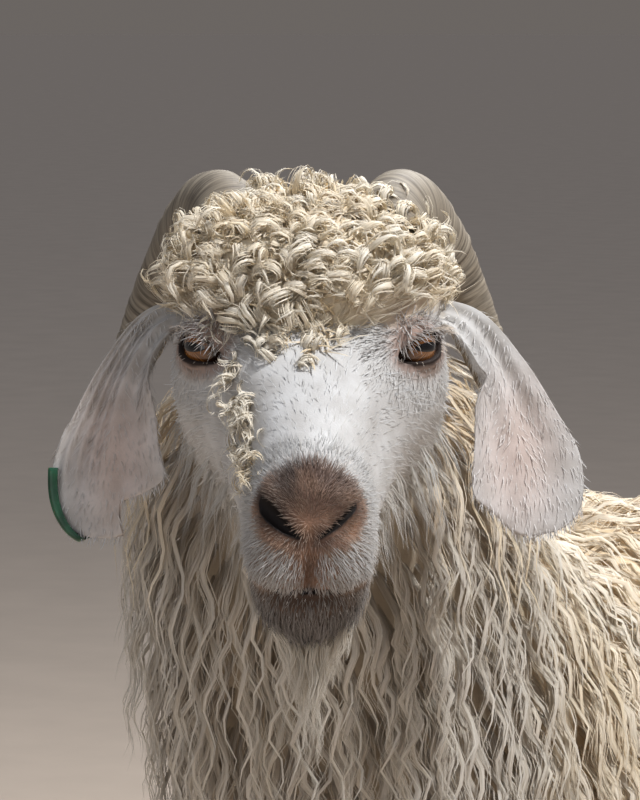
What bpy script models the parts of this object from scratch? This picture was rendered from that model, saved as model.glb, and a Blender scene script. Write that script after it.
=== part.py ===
"""Angora goat: a still, life-size model of a standing adult with its head turned to its left.

Run it with blender --background --python part.py, or from Blender's text editor. Units are metres
and +Z is up. The goat faces -Y, its left side is +X, and its hooves stand on Z = 0.
"""

import math
import random

import bmesh
import bpy
import numpy as np
from mathutils import Matrix, Vector
from mathutils.bvhtree import BVHTree

# Driving sizes of the body, on the skin
WITHERS = 0.600
TRUNK_LENGTH = 0.700
TRUNK_FRONT = -0.300
BARREL_HALF = 0.135
FORE_LEG_X = 0.087
HIND_LEG_X = 0.090
FORE_LEG_Y = -0.182
HIND_LEG_Y = 0.352
HOOF_HEIGHT = 0.036
HOOF_LENGTH = 0.056
CLAW_WIDTH = 0.0215

# Fleece: how far the tips stand off the skin, and how much of that the solid core fills
BODY_COAT = 0.050
NECK_COAT = 0.038
LEG_COAT = 0.030
HIND_FULLER = 1.35
TAIL_COAT = 0.022
CORE_SHARE = 0.45

# Where the head is and how it is held
HEAD_TURN = math.radians(38)
HEAD_PITCH = math.radians(19)
EYES_MIDDLE = Vector((0.095, -0.470, 0.755))
EYE_AHEAD = 0.082
EYE_OUT = 0.047
EYE_UP = 0.032
EYE_RADIUS = 0.0135
LID_THICKNESS = 0.0024
LID_SLANT = math.radians(-10)

GAP = 0.0003
SEED = 11
UP = np.array([0.0, 0.0, 1.0])
SIDE = np.array([1.0, 0.0, 0.0])

# Across, along the trunk, and how high: along, top, bottom, half width, as shares of the driving sizes
TRUNK_SECTIONS = (
    (0.00, 0.830, 0.660, 0.30),
    (0.08, 0.930, 0.560, 0.62),
    (0.20, 1.000, 0.490, 0.84),
    (0.38, 0.985, 0.460, 0.95),
    (0.58, 0.975, 0.455, 1.00),
    (0.75, 0.985, 0.500, 0.97),
    (0.88, 0.970, 0.580, 0.82),
    (0.97, 0.910, 0.680, 0.52),
    (1.00, 0.860, 0.740, 0.25),
)
# From the head back into the trunk: x, y, z, half width, half depth
NECK_SECTIONS = (
    (0.066, -0.448, 0.760, 0.040, 0.038),
    (0.046, -0.412, 0.730, 0.048, 0.052),
    (0.022, -0.370, 0.680, 0.056, 0.066),
    (0.006, -0.328, 0.610, 0.064, 0.077),
    (0.000, -0.272, 0.535, 0.080, 0.096),
    (0.000, -0.150, 0.470, 0.090, 0.104),
)
# Down the left fore leg from the shoulder: x and y from the leg's line, z, half width, half depth
FORE_SECTIONS = (
    (-0.012, 0.030, 0.420, 0.046, 0.072),
    (-0.002, 0.018, 0.345, 0.044, 0.058),
    (0.002, 0.008, 0.280, 0.034, 0.041),
    (0.001, 0.002, 0.225, 0.0260, 0.0300),
    (0.000, 0.000, 0.192, 0.0255, 0.0285),
    (0.000, 0.001, 0.165, 0.0190, 0.0220),
    (0.000, 0.001, 0.120, 0.0155, 0.0180),
    (0.000, 0.000, 0.078, 0.0200, 0.0230),
    (0.000, -0.009, 0.052, 0.0180, 0.0190),
    (0.000, -0.016, 0.036, 0.0225, 0.0245),
)
# Down the left hind leg from the hip, in the same way
HIND_SECTIONS = (
    (-0.022, -0.110, 0.490, 0.052, 0.080),
    (-0.004, -0.100, 0.430, 0.060, 0.102),
    (0.004, -0.098, 0.360, 0.050, 0.088),
    (0.002, -0.060, 0.300, 0.037, 0.056),
    (0.000, -0.018, 0.252, 0.0250, 0.0340),
    (-0.002, 0.000, 0.222, 0.0240, 0.0320),
    (-0.003, -0.002, 0.190, 0.0180, 0.0240),
    (-0.003, -0.009, 0.140, 0.0160, 0.0195),
    (-0.003, -0.017, 0.080, 0.0205, 0.0235),
    (-0.003, -0.028, 0.054, 0.0180, 0.0195),
    (-0.003, -0.036, 0.036, 0.0230, 0.0250),
)
TAIL_SECTIONS = (
    (0.000, 0.350, 0.545, 0.022, 0.020),
    (0.000, 0.392, 0.562, 0.018, 0.016),
    (0.000, 0.430, 0.570, 0.013, 0.011),
    (0.000, 0.462, 0.560, 0.007, 0.006),
)
# Head, in its own axes: along from the poll to the nose, top, bottom, half width, how top-heavy
HEAD_SECTIONS = (
    (-0.040, 0.038, -0.052, 0.0440, 0.00),
    (-0.010, 0.050, -0.064, 0.0520, 0.05),
    (0.020, 0.056, -0.070, 0.0580, 0.10),
    (0.050, 0.057, -0.070, 0.0600, 0.15),
    (0.080, 0.053, -0.065, 0.0590, 0.22),
    (0.100, 0.047, -0.060, 0.0500, 0.20),
    (0.120, 0.041, -0.055, 0.0420, 0.15),
    (0.145, 0.035, -0.055, 0.0345, 0.10),
    (0.168, 0.030, -0.058, 0.0305, 0.03),
    (0.185, 0.026, -0.061, 0.0290, -0.02),
    (0.198, 0.021, -0.059, 0.0275, -0.05),
    (0.207, 0.014, -0.051, 0.0240, -0.05),
    (0.2135, 0.003, -0.038, 0.0160, 0.00),
)
NOSE_TIP = (0.0165, -0.013)
# Soft swellings of the head: out, ahead and up of the middle, their spreads, and how far they stand
HEAD_FORMS = (
    (0.055, 0.080, 0.046, 0.012, 0.018, 0.010, 0.0055),
    (0.056, 0.080, 0.030, 0.016, 0.020, 0.015, 0.0065),
    (0.050, 0.088, 0.004, 0.012, 0.020, 0.010, 0.0030),
    (0.055, 0.048, -0.030, 0.018, 0.030, 0.026, 0.0070),
    (0.060, 0.045, 0.022, 0.012, 0.016, 0.014, -0.0040),
    (0.038, 0.118, 0.012, 0.010, 0.018, 0.014, -0.0025),
    (0.021, 0.204, 0.012, 0.007, 0.010, 0.009, 0.0035),
    (0.014, 0.209, -0.017, 0.009, 0.010, 0.008, 0.0025),
    (0.000, 0.200, -0.043, 0.015, 0.010, 0.007, 0.0025),
)
MOUTH_UP = -0.0285
MOUTH_CORNER = 0.152
# Horn, from its seat: out, above and behind the middle of the eyes, on the level, and its radius
HORN_SECTIONS = (
    (0.034, 0.022, 0.034, 0.0225),
    (0.037, 0.040, 0.044, 0.0225),
    (0.040, 0.055, 0.062, 0.0215),
    (0.050, 0.058, 0.090, 0.0200),
    (0.064, 0.042, 0.116, 0.0175),
    (0.077, 0.016, 0.130, 0.0155),
    (0.088, -0.010, 0.134, 0.0130),
    (0.100, -0.038, 0.130, 0.0100),
    (0.112, -0.062, 0.118, 0.0065),
    (0.122, -0.078, 0.102, 0.0025),
)
# Ear, from its root: out, above and behind the middle of the eyes, on the level, and its width
EAR_SECTIONS = (
    (0.056, 0.013, 0.046, 0.021),
    (0.075, 0.006, 0.043, 0.023),
    (0.091, -0.017, 0.038, 0.032),
    (0.099, -0.042, 0.033, 0.047),
    (0.104, -0.064, 0.028, 0.059),
    (0.104, -0.083, 0.023, 0.051),
    (0.101, -0.094, 0.020, 0.029),
)
EAR_SHIFT = {1: 0.001, -1: -0.010}
EAR_THICKNESS = 0.0030

FACING = np.array([math.sin(HEAD_TURN), -math.cos(HEAD_TURN), 0.0])
LEFTWARD = np.cross(UP, FACING)
AHEAD = FACING * math.cos(HEAD_PITCH) - UP * math.sin(HEAD_PITCH)
DORSAL = np.cross(AHEAD, LEFTWARD)
HEAD_ORIGIN = np.array(EYES_MIDDLE) - AHEAD * EYE_AHEAD - DORSAL * EYE_UP


def from_head(out, ahead, up):
    """A point given in the head's own axes, in the goat's."""
    return (
        HEAD_ORIGIN
        + np.multiply.outer(out, LEFTWARD)
        + np.multiply.outer(ahead, AHEAD)
        + np.multiply.outer(up, DORSAL)
    )


def from_eyes(out, above, behind):
    """A point given on the level from the middle of the eyes, in the goat's axes."""
    return (
        np.array(EYES_MIDDLE)
        + np.multiply.outer(out, LEFTWARD)
        + np.multiply.outer(above, UP)
        - np.multiply.outer(behind, FACING)
    )


def unit(vectors):
    """Each vector scaled to length one."""
    vectors = np.asarray(vectors, float)
    return vectors / np.maximum(np.linalg.norm(vectors, axis=-1, keepdims=True), 1e-12)


def smooth_rows(knots, rows, where):
    """Rows of sizes read between their knots along a smooth cubic, one row for each place."""
    knots, rows = np.asarray(knots, float), np.asarray(rows, float)
    where = np.clip(np.atleast_1d(np.asarray(where, float)), knots[0], knots[-1])
    slopes = np.gradient(rows, knots, axis=0)
    i = np.clip(np.searchsorted(knots, where, side="right") - 1, 0, len(knots) - 2)
    gap = (knots[i + 1] - knots[i])[:, None]
    t = (where - knots[i])[:, None] / gap
    return (
        (2 * t**3 - 3 * t**2 + 1) * rows[i]
        + (t**3 - 2 * t**2 + t) * gap * slopes[i]
        + (3 * t**2 - 2 * t**3) * rows[i + 1]
        + (t**3 - t**2) * gap * slopes[i + 1]
    )


def rounded(values, power):
    """A sine or cosine squared off towards a box as power rises above 2."""
    return np.sign(values) * np.abs(values) ** (2 / power)


class Tube:
    """An oval body or limb that follows a line of sections: x, y, z, half width, half depth."""

    def __init__(self, sections, side=SIDE, power=2.0, sag=0.0, bare=0.0):
        self.rows = np.asarray(sections, float)
        self.side, self.power, self.sag, self.bare = np.asarray(side, float), power, sag, bare
        steps = np.linalg.norm(np.diff(self.rows[:, :3], axis=0), axis=1)
        self.length = steps.sum()
        self.knots = np.concatenate([[0.0], np.cumsum(steps)]) / self.length

    def frame(self, where):
        """Sections and the across and dorsal directions at places from 0 to 1."""
        where = np.atleast_1d(np.asarray(where, float))
        rows = smooth_rows(self.knots, self.rows, where)
        ahead = smooth_rows(self.knots, self.rows, where + 0.01)
        behind = smooth_rows(self.knots, self.rows, where - 0.01)
        along = unit((ahead - behind)[:, :3])
        across = unit(self.side - along * (along @ self.side)[:, None])
        return rows, across, np.cross(across, along)

    def points(self, where, angle, grow=0.0):
        """Points of the surface. angle is 0 along the back and a quarter turn at the left side."""
        rows, across, dorsal = self.frame(where)
        angle = np.asarray(angle, float)
        c, s = rounded(np.cos(angle), self.power), rounded(np.sin(angle), self.power)
        if self.bare:
            share = np.clip(np.atleast_1d(where) / self.bare, 0, 1)
            grow = grow * share * share * (3 - 2 * share)
        lower = self.sag * grow
        wide = (rows[:, 3] + grow) * s
        deep = (rows[:, 4] + grow) * c - lower * (c < 0) * np.abs(c) - 0.35 * lower * (c > 0) * c
        return rows[:, :3] + wide[:, None] * across + deep[:, None] * dorsal

    def mesh(self, name, places, sides, grow=0.0, crown=0.0):
        """The closed tube as an object. crown rounds its two ends and makes them that much longer."""
        turns = np.arange(sides) / sides * 2 * math.pi
        rings = [self.points(np.full(sides, place), turns, grow) for place in places]
        if not crown:
            return closed_rings(name, rings)
        tips = []
        for index, other in ((0, 1), (-1, -2)):
            middle = rings[index].mean(axis=0)
            push = unit(middle - rings[other].mean(axis=0))
            tips.append(middle + push * crown)
            shoulder = middle + (rings[index] - middle) * 0.72 + push * crown * 0.66
            rings.insert(len(rings) if index else 0, shoulder)
        return closed_rings(name, rings, *tips)


def new_object(name, mesh_data):
    """A bmesh as a linked object with its faces pointing out, and the bmesh freed."""
    bmesh.ops.recalc_face_normals(mesh_data, faces=mesh_data.faces)
    mesh = bpy.data.meshes.new(name)
    mesh_data.to_mesh(mesh)
    mesh_data.free()
    made = bpy.data.objects.new(name, mesh)
    bpy.context.scene.collection.objects.link(made)
    return made


def closed_rings(name, rings, start_tip=None, end_tip=None):
    """Rings of points bridged into one closed body, its ends capped or drawn to a point."""
    shape = bmesh.new()
    loops = [[shape.verts.new(point) for point in ring] for ring in rings]
    sides = len(loops[0])
    for first, second in zip(loops, loops[1:]):
        for k in range(sides):
            n = (k + 1) % sides
            shape.faces.new((first[k], first[n], second[n], second[k]))
    for loop, tip in ((loops[0], start_tip), (loops[-1], end_tip)):
        if tip is None:
            shape.faces.new(loop)
            continue
        peak = shape.verts.new(tip)
        for k in range(sides):
            shape.faces.new((loop[k], loop[(k + 1) % sides], peak))
    return new_object(name, shape)


def convex_block(name, planes, grow=0.0):
    """The space behind all the planes, each a point and an outward direction, as a closed block."""
    shape = bmesh.new()
    bmesh.ops.create_cube(shape, size=4.0)
    for point, outward in planes:
        direction = Vector(outward).normalized()
        cut = bmesh.ops.bisect_plane(
            shape,
            geom=shape.verts[:] + shape.edges[:] + shape.faces[:],
            plane_co=Vector(point) + direction * grow,
            plane_no=direction,
            clear_outer=True,
        )
        rim = [part for part in cut["geom_cut"] if isinstance(part, bmesh.types.BMEdge)]
        bmesh.ops.edgenet_fill(shape, edges=rim)
    return new_object(name, shape)


def remove(objects):
    """Objects taken out of the file."""
    for each in objects:
        bpy.data.objects.remove(each)


def combine(body, operation, others, solver="EXACT"):
    """body joined with, cut by or kept inside the other objects, which are then removed."""
    group = bpy.data.collections.new("operands")
    for other in others:
        group.objects.link(other)
    modifier = body.modifiers.new("combine", "BOOLEAN")
    modifier.operation = operation
    modifier.operand_type = "COLLECTION"
    modifier.collection = group
    modifier.solver = solver
    evaluated = body.evaluated_get(bpy.context.evaluated_depsgraph_get())
    body.data = bpy.data.meshes.new_from_object(evaluated)
    body.modifiers.clear()
    remove(others)
    bpy.data.collections.remove(group)
    return body


def grown(body, amount):
    """A helper copy of body with its surface moved out by amount."""
    shape = bmesh.new()
    shape.from_mesh(body.data)
    shape.normal_update()
    moves = [vert.normal * amount for vert in shape.verts]
    for vert, move in zip(shape.verts, moves):
        vert.co += move
    return new_object("grown", shape)


def keep_largest(body):
    """body with only its largest closed surface left."""
    shape = bmesh.new()
    shape.from_mesh(body.data)
    bmesh.ops.triangulate(shape, faces=shape.faces)
    left, groups = set(shape.faces), []
    while left:
        front = [left.pop()]
        group = set(front)
        while front:
            for edge in front.pop().edges:
                for face in edge.link_faces if len(edge.link_faces) == 2 else ():
                    if face in left:
                        left.discard(face)
                        group.add(face)
                        front.append(face)
        groups.append(group)
    largest = max(groups, key=lambda faces: sum(face.calc_area() for face in faces))
    loose = [face for group in groups if group is not largest for face in group]
    bmesh.ops.delete(shape, geom=loose, context="FACES")
    shape.to_mesh(body.data)
    shape.free()
    return body


def node(name, pieces, slot, inside=(), outside=(), solver="EXACT"):
    """One node: its pieces joined, kept inside some cutters, cut by others, and given a material."""
    body = pieces[0]
    body.name = body.data.name = name
    if len(pieces) > 1:
        combine(body, "UNION", pieces[1:], solver)
    for cutter in inside:
        combine(body, "INTERSECT", [cutter], solver)
    for cutter in outside:
        combine(body, "DIFFERENCE", [cutter], solver)
    keep_largest(body)
    body.name = body.data.name = name
    body.data.materials.clear()
    body.data.materials.append(MATERIALS[slot])
    return body


def make_material(name, colour, roughness):
    """A Principled material with one colour and roughness."""
    material = bpy.data.materials.new(name)
    material.use_nodes = True
    shader = material.node_tree.nodes["Principled BSDF"]
    shader.inputs["Base Color"].default_value = (*colour, 1.0)
    shader.inputs["Roughness"].default_value = roughness
    return material


def trunk_tube():
    """The trunk as a tube from the brisket to the pin bones."""
    sections = []
    for along, top, bottom, half in TRUNK_SECTIONS:
        y = TRUNK_FRONT + along * TRUNK_LENGTH
        middle, deep = (top + bottom) / 2 * WITHERS, (top - bottom) / 2 * WITHERS
        sections.append((0.0, y, middle, half * BARREL_HALF, deep))
    return Tube(sections, power=2.25, sag=0.45)


def neck_tube():
    """The neck as a tube from inside the head to inside the shoulders."""
    return Tube(NECK_SECTIONS, power=2.1, bare=0.45)


def leg_tube(sections, line_x, line_y, side_sign):
    """A leg as a tube from the trunk down to the coronet."""
    placed = [
        (side_sign * (line_x + x), line_y + y, z, half, deep) for x, y, z, half, deep in sections
    ]
    return Tube(placed, power=2.2)


def head_points(ahead, angle):
    """Points of the head's skin in the head's axes: out, ahead, up. angle is 0 along the top."""
    knots = [row[0] for row in HEAD_SECTIONS]
    rows = smooth_rows(knots, [row[1:] for row in HEAD_SECTIONS], ahead)
    top, bottom, half, heavy = rows.T
    c, s = rounded(np.cos(angle), 2.15), rounded(np.sin(angle), 2.15)
    middle = (top + bottom) / 2
    points = np.stack(
        [half * s * (1 + heavy * c), np.asarray(ahead, float), middle + (top - bottom) / 2 * c],
        axis=-1,
    )
    return swell(points, middle)


def swell(points, middle):
    """Points of the head moved out or in by its soft forms."""
    core = np.stack(
        [np.zeros(len(points)), np.minimum(points[:, 1], 0.185), np.asarray(middle) * np.ones(len(points))],
        axis=-1,
    )
    outward = unit(points - core)
    total = np.zeros(len(points))
    for out, ahead, up, wide, long, tall, amount in HEAD_FORMS:
        reach = np.stack([np.abs(points[:, 0]) - out, points[:, 1] - ahead, points[:, 2] - up], axis=-1)
        total += amount * np.exp(-((reach / (wide, long, tall)) ** 2).sum(axis=1) / 2)
    return points + outward * total[:, None]


def placed_head(points):
    """Points in the head's axes moved to the goat's."""
    return from_head(points[:, 0], points[:, 1], points[:, 2])


def ear_frame(sign):
    """Smooth centres, widths and directions of one ear, from its root to its tip."""
    rows = np.asarray(EAR_SECTIONS, float)
    out = rows[:, 0] + EAR_SHIFT[sign] * np.linspace(0, 1, len(rows))
    centres = from_eyes(out * sign, rows[:, 1], rows[:, 2])
    steps = np.linalg.norm(np.diff(centres, axis=0), axis=1)
    knots = np.concatenate([[0.0], np.cumsum(steps)]) / steps.sum()
    return knots, np.column_stack([centres, rows[:, 3]])


def ear_points(sign, along, across, rise):
    """Points of an ear: across is -1 at its inner margin and 1 at its outer one, rise is off its middle."""
    knots, rows = ear_frame(sign)
    here = smooth_rows(knots, rows, along)
    ahead = smooth_rows(knots, rows, np.asarray(along) + 0.02)
    behind = smooth_rows(knots, rows, np.asarray(along) - 0.02)
    down = unit((ahead - behind)[:, :3])
    outward = unit(LEFTWARD * sign - FACING * 0.30)
    outward = unit(outward - down * (down @ outward)[:, None])
    front = np.cross(down, outward) * sign
    half = here[:, 3] / 2
    cup = 0.62 - 0.50 * np.clip(np.asarray(along) * 1.25, 0, 1)
    bend = cup * np.asarray(across) * 1.5
    radius = half / np.maximum(1.5 * cup, 0.05)
    sideways = radius * np.sin(bend)
    forward = radius * (1 - np.cos(bend))
    sheet = here[:, :3] + outward * sideways[:, None] + front * forward[:, None]
    facing_in = front * np.cos(bend)[:, None] - outward * np.sin(bend)[:, None]
    return sheet + facing_in * np.asarray(rise)[:, None]


def ear(sign, name):
    """One hanging ear: a cupped leaf with round margins, its root a closed fold."""
    rings = []
    for along in np.linspace(0.0, 1.0, 10):
        across = np.concatenate([np.linspace(-1, 1, 6), np.linspace(0.90, -0.90, 5)])
        rise = np.concatenate([np.full(6, 0.5), np.full(5, -0.5)])
        thin = np.sqrt(np.clip(1.02 - across**2, 0.12, 1)) * EAR_THICKNESS * (1.5 - 0.6 * along)
        rings.append(ear_points(sign, np.full(11, along), across, rise * thin))
    return closed_rings(name, rings)


def horn_tube(sign):
    """One horn as a tube from its seat in the skull to its tip."""
    rows = np.asarray(HORN_SECTIONS, float)
    centres = from_eyes(rows[:, 0] * sign, rows[:, 1], rows[:, 2])
    sections = np.column_stack([centres, rows[:, 3] * 0.92, rows[:, 3] * 1.08])
    return Tube(sections, side=LEFTWARD * sign)


def horn(sign, name, grow=0.0, rings=23, sides=9):
    """One horn with its growth rings, or the plain space that it takes when grow is given."""
    tube = horn_tube(sign)
    places = np.linspace(0.0, 0.985, rings)
    turns = np.arange(sides) / sides * 2 * math.pi
    loops = []
    for k, place in enumerate(places):
        ridge = 0.0 if grow else 0.0007 * (k % 2) * (1 - place)
        loops.append(tube.points(np.full(sides, place), turns, ridge + grow))
    loops[0] = loops[0] - unit(loops[1].mean(axis=0) - loops[0].mean(axis=0)) * grow
    tip = tube.rows[-1, :3] + unit(loops[-1].mean(axis=0) - loops[-2].mean(axis=0)) * (0.004 + grow)
    return closed_rings(name, loops, end_tip=tip)


def gaze(sign):
    """The directions that one eye looks along, and the long and short axes of its opening."""
    look = unit(LEFTWARD * 0.72 * sign + AHEAD * 0.62 + DORSAL * 0.28)
    long = -AHEAD * math.cos(LID_SLANT) + DORSAL * math.sin(LID_SLANT)
    long = unit(long - look * (long @ look))
    return look, long, np.cross(look, long) * sign


def eye_centre(sign):
    """The middle of one eyeball."""
    return from_head(EYE_OUT * sign, EYE_AHEAD, EYE_UP)


def ball(name, centre, radius, segments, rings):
    """A closed sphere."""
    shape = bmesh.new()
    bmesh.ops.create_uvsphere(shape, u_segments=segments, v_segments=rings, radius=radius)
    shape.transform(Matrix.Translation(Vector(centre)))
    return new_object(name, shape)


def eye_opening(sign):
    """The cutter of the opening between the lids, an almond drawn out along the gaze."""
    look, long, short = gaze(sign)
    centre = eye_centre(sign) - short * 0.0008
    rings = []
    for reach, spread in ((0.004, 0.75), (0.030, 1.75)):
        turns = np.arange(14) / 14 * 2 * math.pi
        wide = 0.0118 * np.cos(turns) * spread
        tall = 0.0058 * np.sin(turns) * np.abs(np.sin(turns)) ** 0.35 * spread
        rings.append(centre + look * reach + np.outer(wide, long) + np.outer(tall, short))
    return closed_rings("eye_opening", rings)


def groove(name, path, radii, sides=5):
    """A bent, tapered rod that cuts a groove."""
    path = np.asarray(path, float)
    along = unit(np.gradient(path, axis=0))
    across = unit(np.cross(along, DORSAL + LEFTWARD * 0.01))
    over = np.cross(along, across)
    turns = np.arange(sides) / sides * 2 * math.pi
    rings = [
        centre + radius * (np.outer(np.cos(turns), a) + np.outer(np.sin(turns), b))
        for centre, radius, a, b in zip(path, radii, across, over)
    ]
    return closed_rings(name, rings)


def mouth_path():
    """The line of the mouth round the muzzle, from the right corner to the left."""
    knots = [row[0] for row in HEAD_SECTIONS]
    sections = [row[1:] for row in HEAD_SECTIONS]
    half_path = []
    for ahead in np.concatenate([np.linspace(MOUTH_CORNER, 0.205, 5), [0.2115]]):
        top, bottom = smooth_rows(knots, sections, ahead)[0][:2]
        up = MOUTH_UP + 0.006 * (0.205 - ahead) / 0.053
        level = np.clip((up - (top + bottom) / 2) / ((top - bottom) / 2), -1, 1)
        angle = math.acos(np.sign(level) * abs(level) ** (2.15 / 2))
        half_path.append(head_points(np.array([ahead]), np.array([angle]))[0])
    half_path = np.array(half_path)
    middle = np.array([[0.0, half_path[-1][1] + 0.0012, half_path[-1][2]]])
    right = half_path * (-1, 1, 1)
    return placed_head(np.concatenate([right, middle, half_path[::-1]]))


def nostril(sign):
    """The cutter of one comma-shaped nostril."""
    line = (
        (0.0030, 0.2150, -0.003),
        (0.0085, 0.2125, 0.0015),
        (0.0165, 0.2080, 0.0085),
        (0.0260, 0.2010, 0.0135),
    )
    path = [from_head(out * sign, ahead, up) for out, ahead, up in line]
    return groove("nostril", path, (0.0010, 0.0026, 0.0034, 0.0016))


def head_mesh(name):
    """The head's skin as one closed body, from inside the neck to the nose."""
    sides = 20
    turns = np.arange(sides) / sides * 2 * math.pi
    places = (-0.040, -0.010, 0.020, 0.045, 0.065, 0.080, 0.095, 0.112, 0.132, 0.152)
    places += (0.168, 0.181, 0.191, 0.199, 0.205, 0.2095, 0.2135)
    rings = [placed_head(head_points(np.full(sides, place), turns)) for place in places]
    tip = from_head(0.0, HEAD_SECTIONS[-1][0] + 0.0028, NOSE_TIP[1])
    return closed_rings(name, rings, end_tip=tip)


def claw(name, centre_x, centre_y, outer, sign):
    """One half of a cloven hoof: a wedge with a flat sole, square behind and pointed in front."""
    outline = ((-0.42, -0.36), (0.42, -0.36), (0.50, 0.10), (0.36, 0.44))
    outline += ((0.04, 0.62), (-0.36, 0.46), (-0.50, 0.05))
    levels = ((0.0, 1.0, 0.0), (0.35, 0.97, 0.10), (1.0, 0.80, 0.26))
    side = sign * outer
    rings = []
    for level, scale, back in levels:
        ring = []
        for across, ahead in outline:
            x = centre_x + side * (CLAW_WIDTH / 2 + 0.0008) + side * across * CLAW_WIDTH * (0.5 + scale / 2)
            y = centre_y - (ahead * scale - back * 0.5) * HOOF_LENGTH
            heel_drop = 0.25 * level * (ahead < 0)
            ring.append((x, y, HOOF_HEIGHT * (level - heel_drop)))
        rings.append(ring)
    return closed_rings(name, rings)


class Ground:
    """The surface that locks lie on, which answers where it is nearest and which way it faces."""

    def __init__(self, bodies):
        ground = bodies[0]
        combine(ground, "UNION", bodies[1:])
        shape = bmesh.new()
        shape.from_mesh(ground.data)
        self.tree = BVHTree.FromBMesh(shape)
        shape.free()
        remove([ground])

    def nearest(self, place):
        """The nearest point of the surface, its outward direction, and the height over it."""
        near, normal, _, _ = self.tree.find_nearest(Vector(place))
        near, normal = np.array(near), np.array(normal)
        return near, normal, (place - near) @ normal


def lock_path(ground, root, lie, length, lift, rng, steps=4, sink=0.02, sway=0.12):
    """Points down a lock and the way its back faces at each: rooted under the skin, then along its lie."""
    near, outward, _ = ground.nearest(root)
    lie = unit(lie - outward * (lie @ outward))
    path, backs = [near - outward * sink - lie * 0.3 * sink], [outward]
    place, heading = near, unit(lie + outward * 0.6)
    side = np.cross(outward, lie)
    turn = rng.uniform(0, 2 * math.pi)
    for step in range(1, steps + 1):
        bend = sway * math.sin(turn + 1.9 * step)
        place = place + unit(heading + side * bend) * length / steps
        near, outward, height = ground.nearest(place)
        wanted = lift * math.sin(math.pi * (0.22 + 0.62 * step / steps))
        if height < wanted:
            place = near + outward * wanted
        close = max(0.0, 1 - max(height - wanted, 0.0) / 0.03)
        fall = lie * 0.35 - UP
        if fall @ outward < 0:
            fall = fall - outward * (fall @ outward) * close
        heading = unit(heading * 0.45 + unit(fall) * 0.75)
        path.append(place)
        backs.append(outward)
    return np.array(path), np.array(backs)


def lock(path, backs, width, thick):
    """A flat tapered lock of three sides along a path, with its ridge towards the light."""
    along = unit(np.gradient(path, axis=0))
    across = unit(np.cross(along, backs))
    over = np.cross(across, along)
    shares = np.linspace(0, 1, len(path))[:-1]
    spread = 0.72 + 0.75 * np.sin(math.pi * np.minimum(shares * 1.15, 1)) - 0.45 * shares
    rings = []
    for k, share in enumerate(spread * 0.8):
        half, high = width / 2 * share, thick * share
        low = path[k] - over[k] * high * 0.35
        rings.append([low - across[k] * half, low + across[k] * half, path[k] + over[k] * high * 0.65])
    return closed_rings("lock", rings, end_tip=path[-1])


def curl(root, outward, lie, radius, thick, turn, sides=5, steps=4, sink=0.012):
    """A fat round curl: it rises out of the skin, bends over along its lie and hooks under."""
    lie = unit(lie - outward * (lie @ outward))
    across = np.cross(outward, lie)
    rings = []
    turns = np.arange(sides) / sides * 2 * math.pi
    for step in range(steps + 1):
        share = step / steps
        bend = share * turn
        shrink = 1 - 0.25 * share
        centre = root - outward * sink * (1 - min(share * 3, 1))
        centre = centre + outward * radius * math.sin(bend) * shrink
        centre = centre + lie * radius * (1 - math.cos(bend)) + across * radius * 0.5 * share
        heading = unit(outward * math.cos(bend) + lie * math.sin(bend))
        first = unit(np.cross(heading, across))
        half = thick / 2 * (0.85 + 0.45 * math.sin(math.pi * share) - 0.35 * share)
        rings.append(centre + half * (np.outer(np.cos(turns), first) + np.outer(np.sin(turns), across)))
    tip = rings[-1].mean(axis=0) + unit(rings[-1].mean(axis=0) - rings[-2].mean(axis=0)) * thick * 0.35
    return closed_rings("curl", rings, end_tip=tip)


def boxes_meet(body, low, high):
    """Whether a mesh object's bounds reach into a box."""
    corners = np.array([vert.co for vert in body.data.vertices])
    return bool((corners.min(axis=0) < high).all() and (corners.max(axis=0) > low).all())


def copy_of(body):
    """A linked copy of a mesh object with its own mesh."""
    made = bpy.data.objects.new(body.name, body.data.copy())
    bpy.context.scene.collection.objects.link(made)
    return made


# Colours from the photograph, linear
MATERIALS = {}
FINISHES = {
    "fleece": ((0.74, 0.67, 0.55), 0.85),
    "short_coat": ((0.80, 0.77, 0.71), 0.80),
    "horn": ((0.42, 0.35, 0.27), 0.55),
    "hoof": ((0.12, 0.10, 0.08), 0.60),
    "eye": ((0.22, 0.10, 0.03), 0.15),
    "tag": ((0.03, 0.28, 0.12), 0.45),
}


def clear_scene():
    """Every object of the startup scene removed."""
    for each in list(bpy.data.objects):
        bpy.data.objects.remove(each)


def centre_on_floor():
    """Every node moved so that the floor is at Z = 0 and the bounding box's middle is over the origin."""
    bpy.context.view_layer.update()
    nodes = [each for each in bpy.context.scene.objects if each.type == "MESH"]
    corners = np.array([each.matrix_world @ Vector(c) for each in nodes for c in each.bound_box])
    low, high = corners.min(axis=0), corners.max(axis=0)
    shift = Matrix.Translation((-(low[0] + high[0]) / 2, -(low[1] + high[1]) / 2, -low[2]))
    for each in nodes:
        each.data.transform(shift)


def main():
    clear_scene()
    for slot, (colour, roughness) in FINISHES.items():
        MATERIALS[slot] = make_material(slot, colour, roughness)
    build()
    centre_on_floor()


# Planes that part the body, each a point and the way out of the part that it bounds
HEAD_BACK = (from_head(0.0, 0.004, -0.0075), -(AHEAD * 0.973 + DORSAL * 0.233))
HEAD_UNDER = (from_head(0.0, 0.020, -0.084), -DORSAL - AHEAD * 0.38)
BEARD_TOP = (from_head(0.0, 0.190, -0.0590), DORSAL)
BEARD_FRONT = (from_head(0.0, 0.225, -0.060), AHEAD)
BEARD_BACK = (from_head(0.0, 0.160, -0.060), -AHEAD)
NECK_BACK = ((0.0, -0.235, 0.500), (0.0, math.cos(0.31), -math.sin(0.31)))
NECK_UNDER = ((0.0, -0.262, 0.470), (0.0, 0.62, -0.78))
TAIL_FRONT = ((0.0, 0.400, 0.55), (0.0, -1.0, 0.25))
TAIL_UNDER = ((0.0, 0.43, 0.488), (0.0, 0.3, -1.0))
TAG_ALONG = (0.74, 0.95)
TAG_THICKNESS = 0.0014
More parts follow.
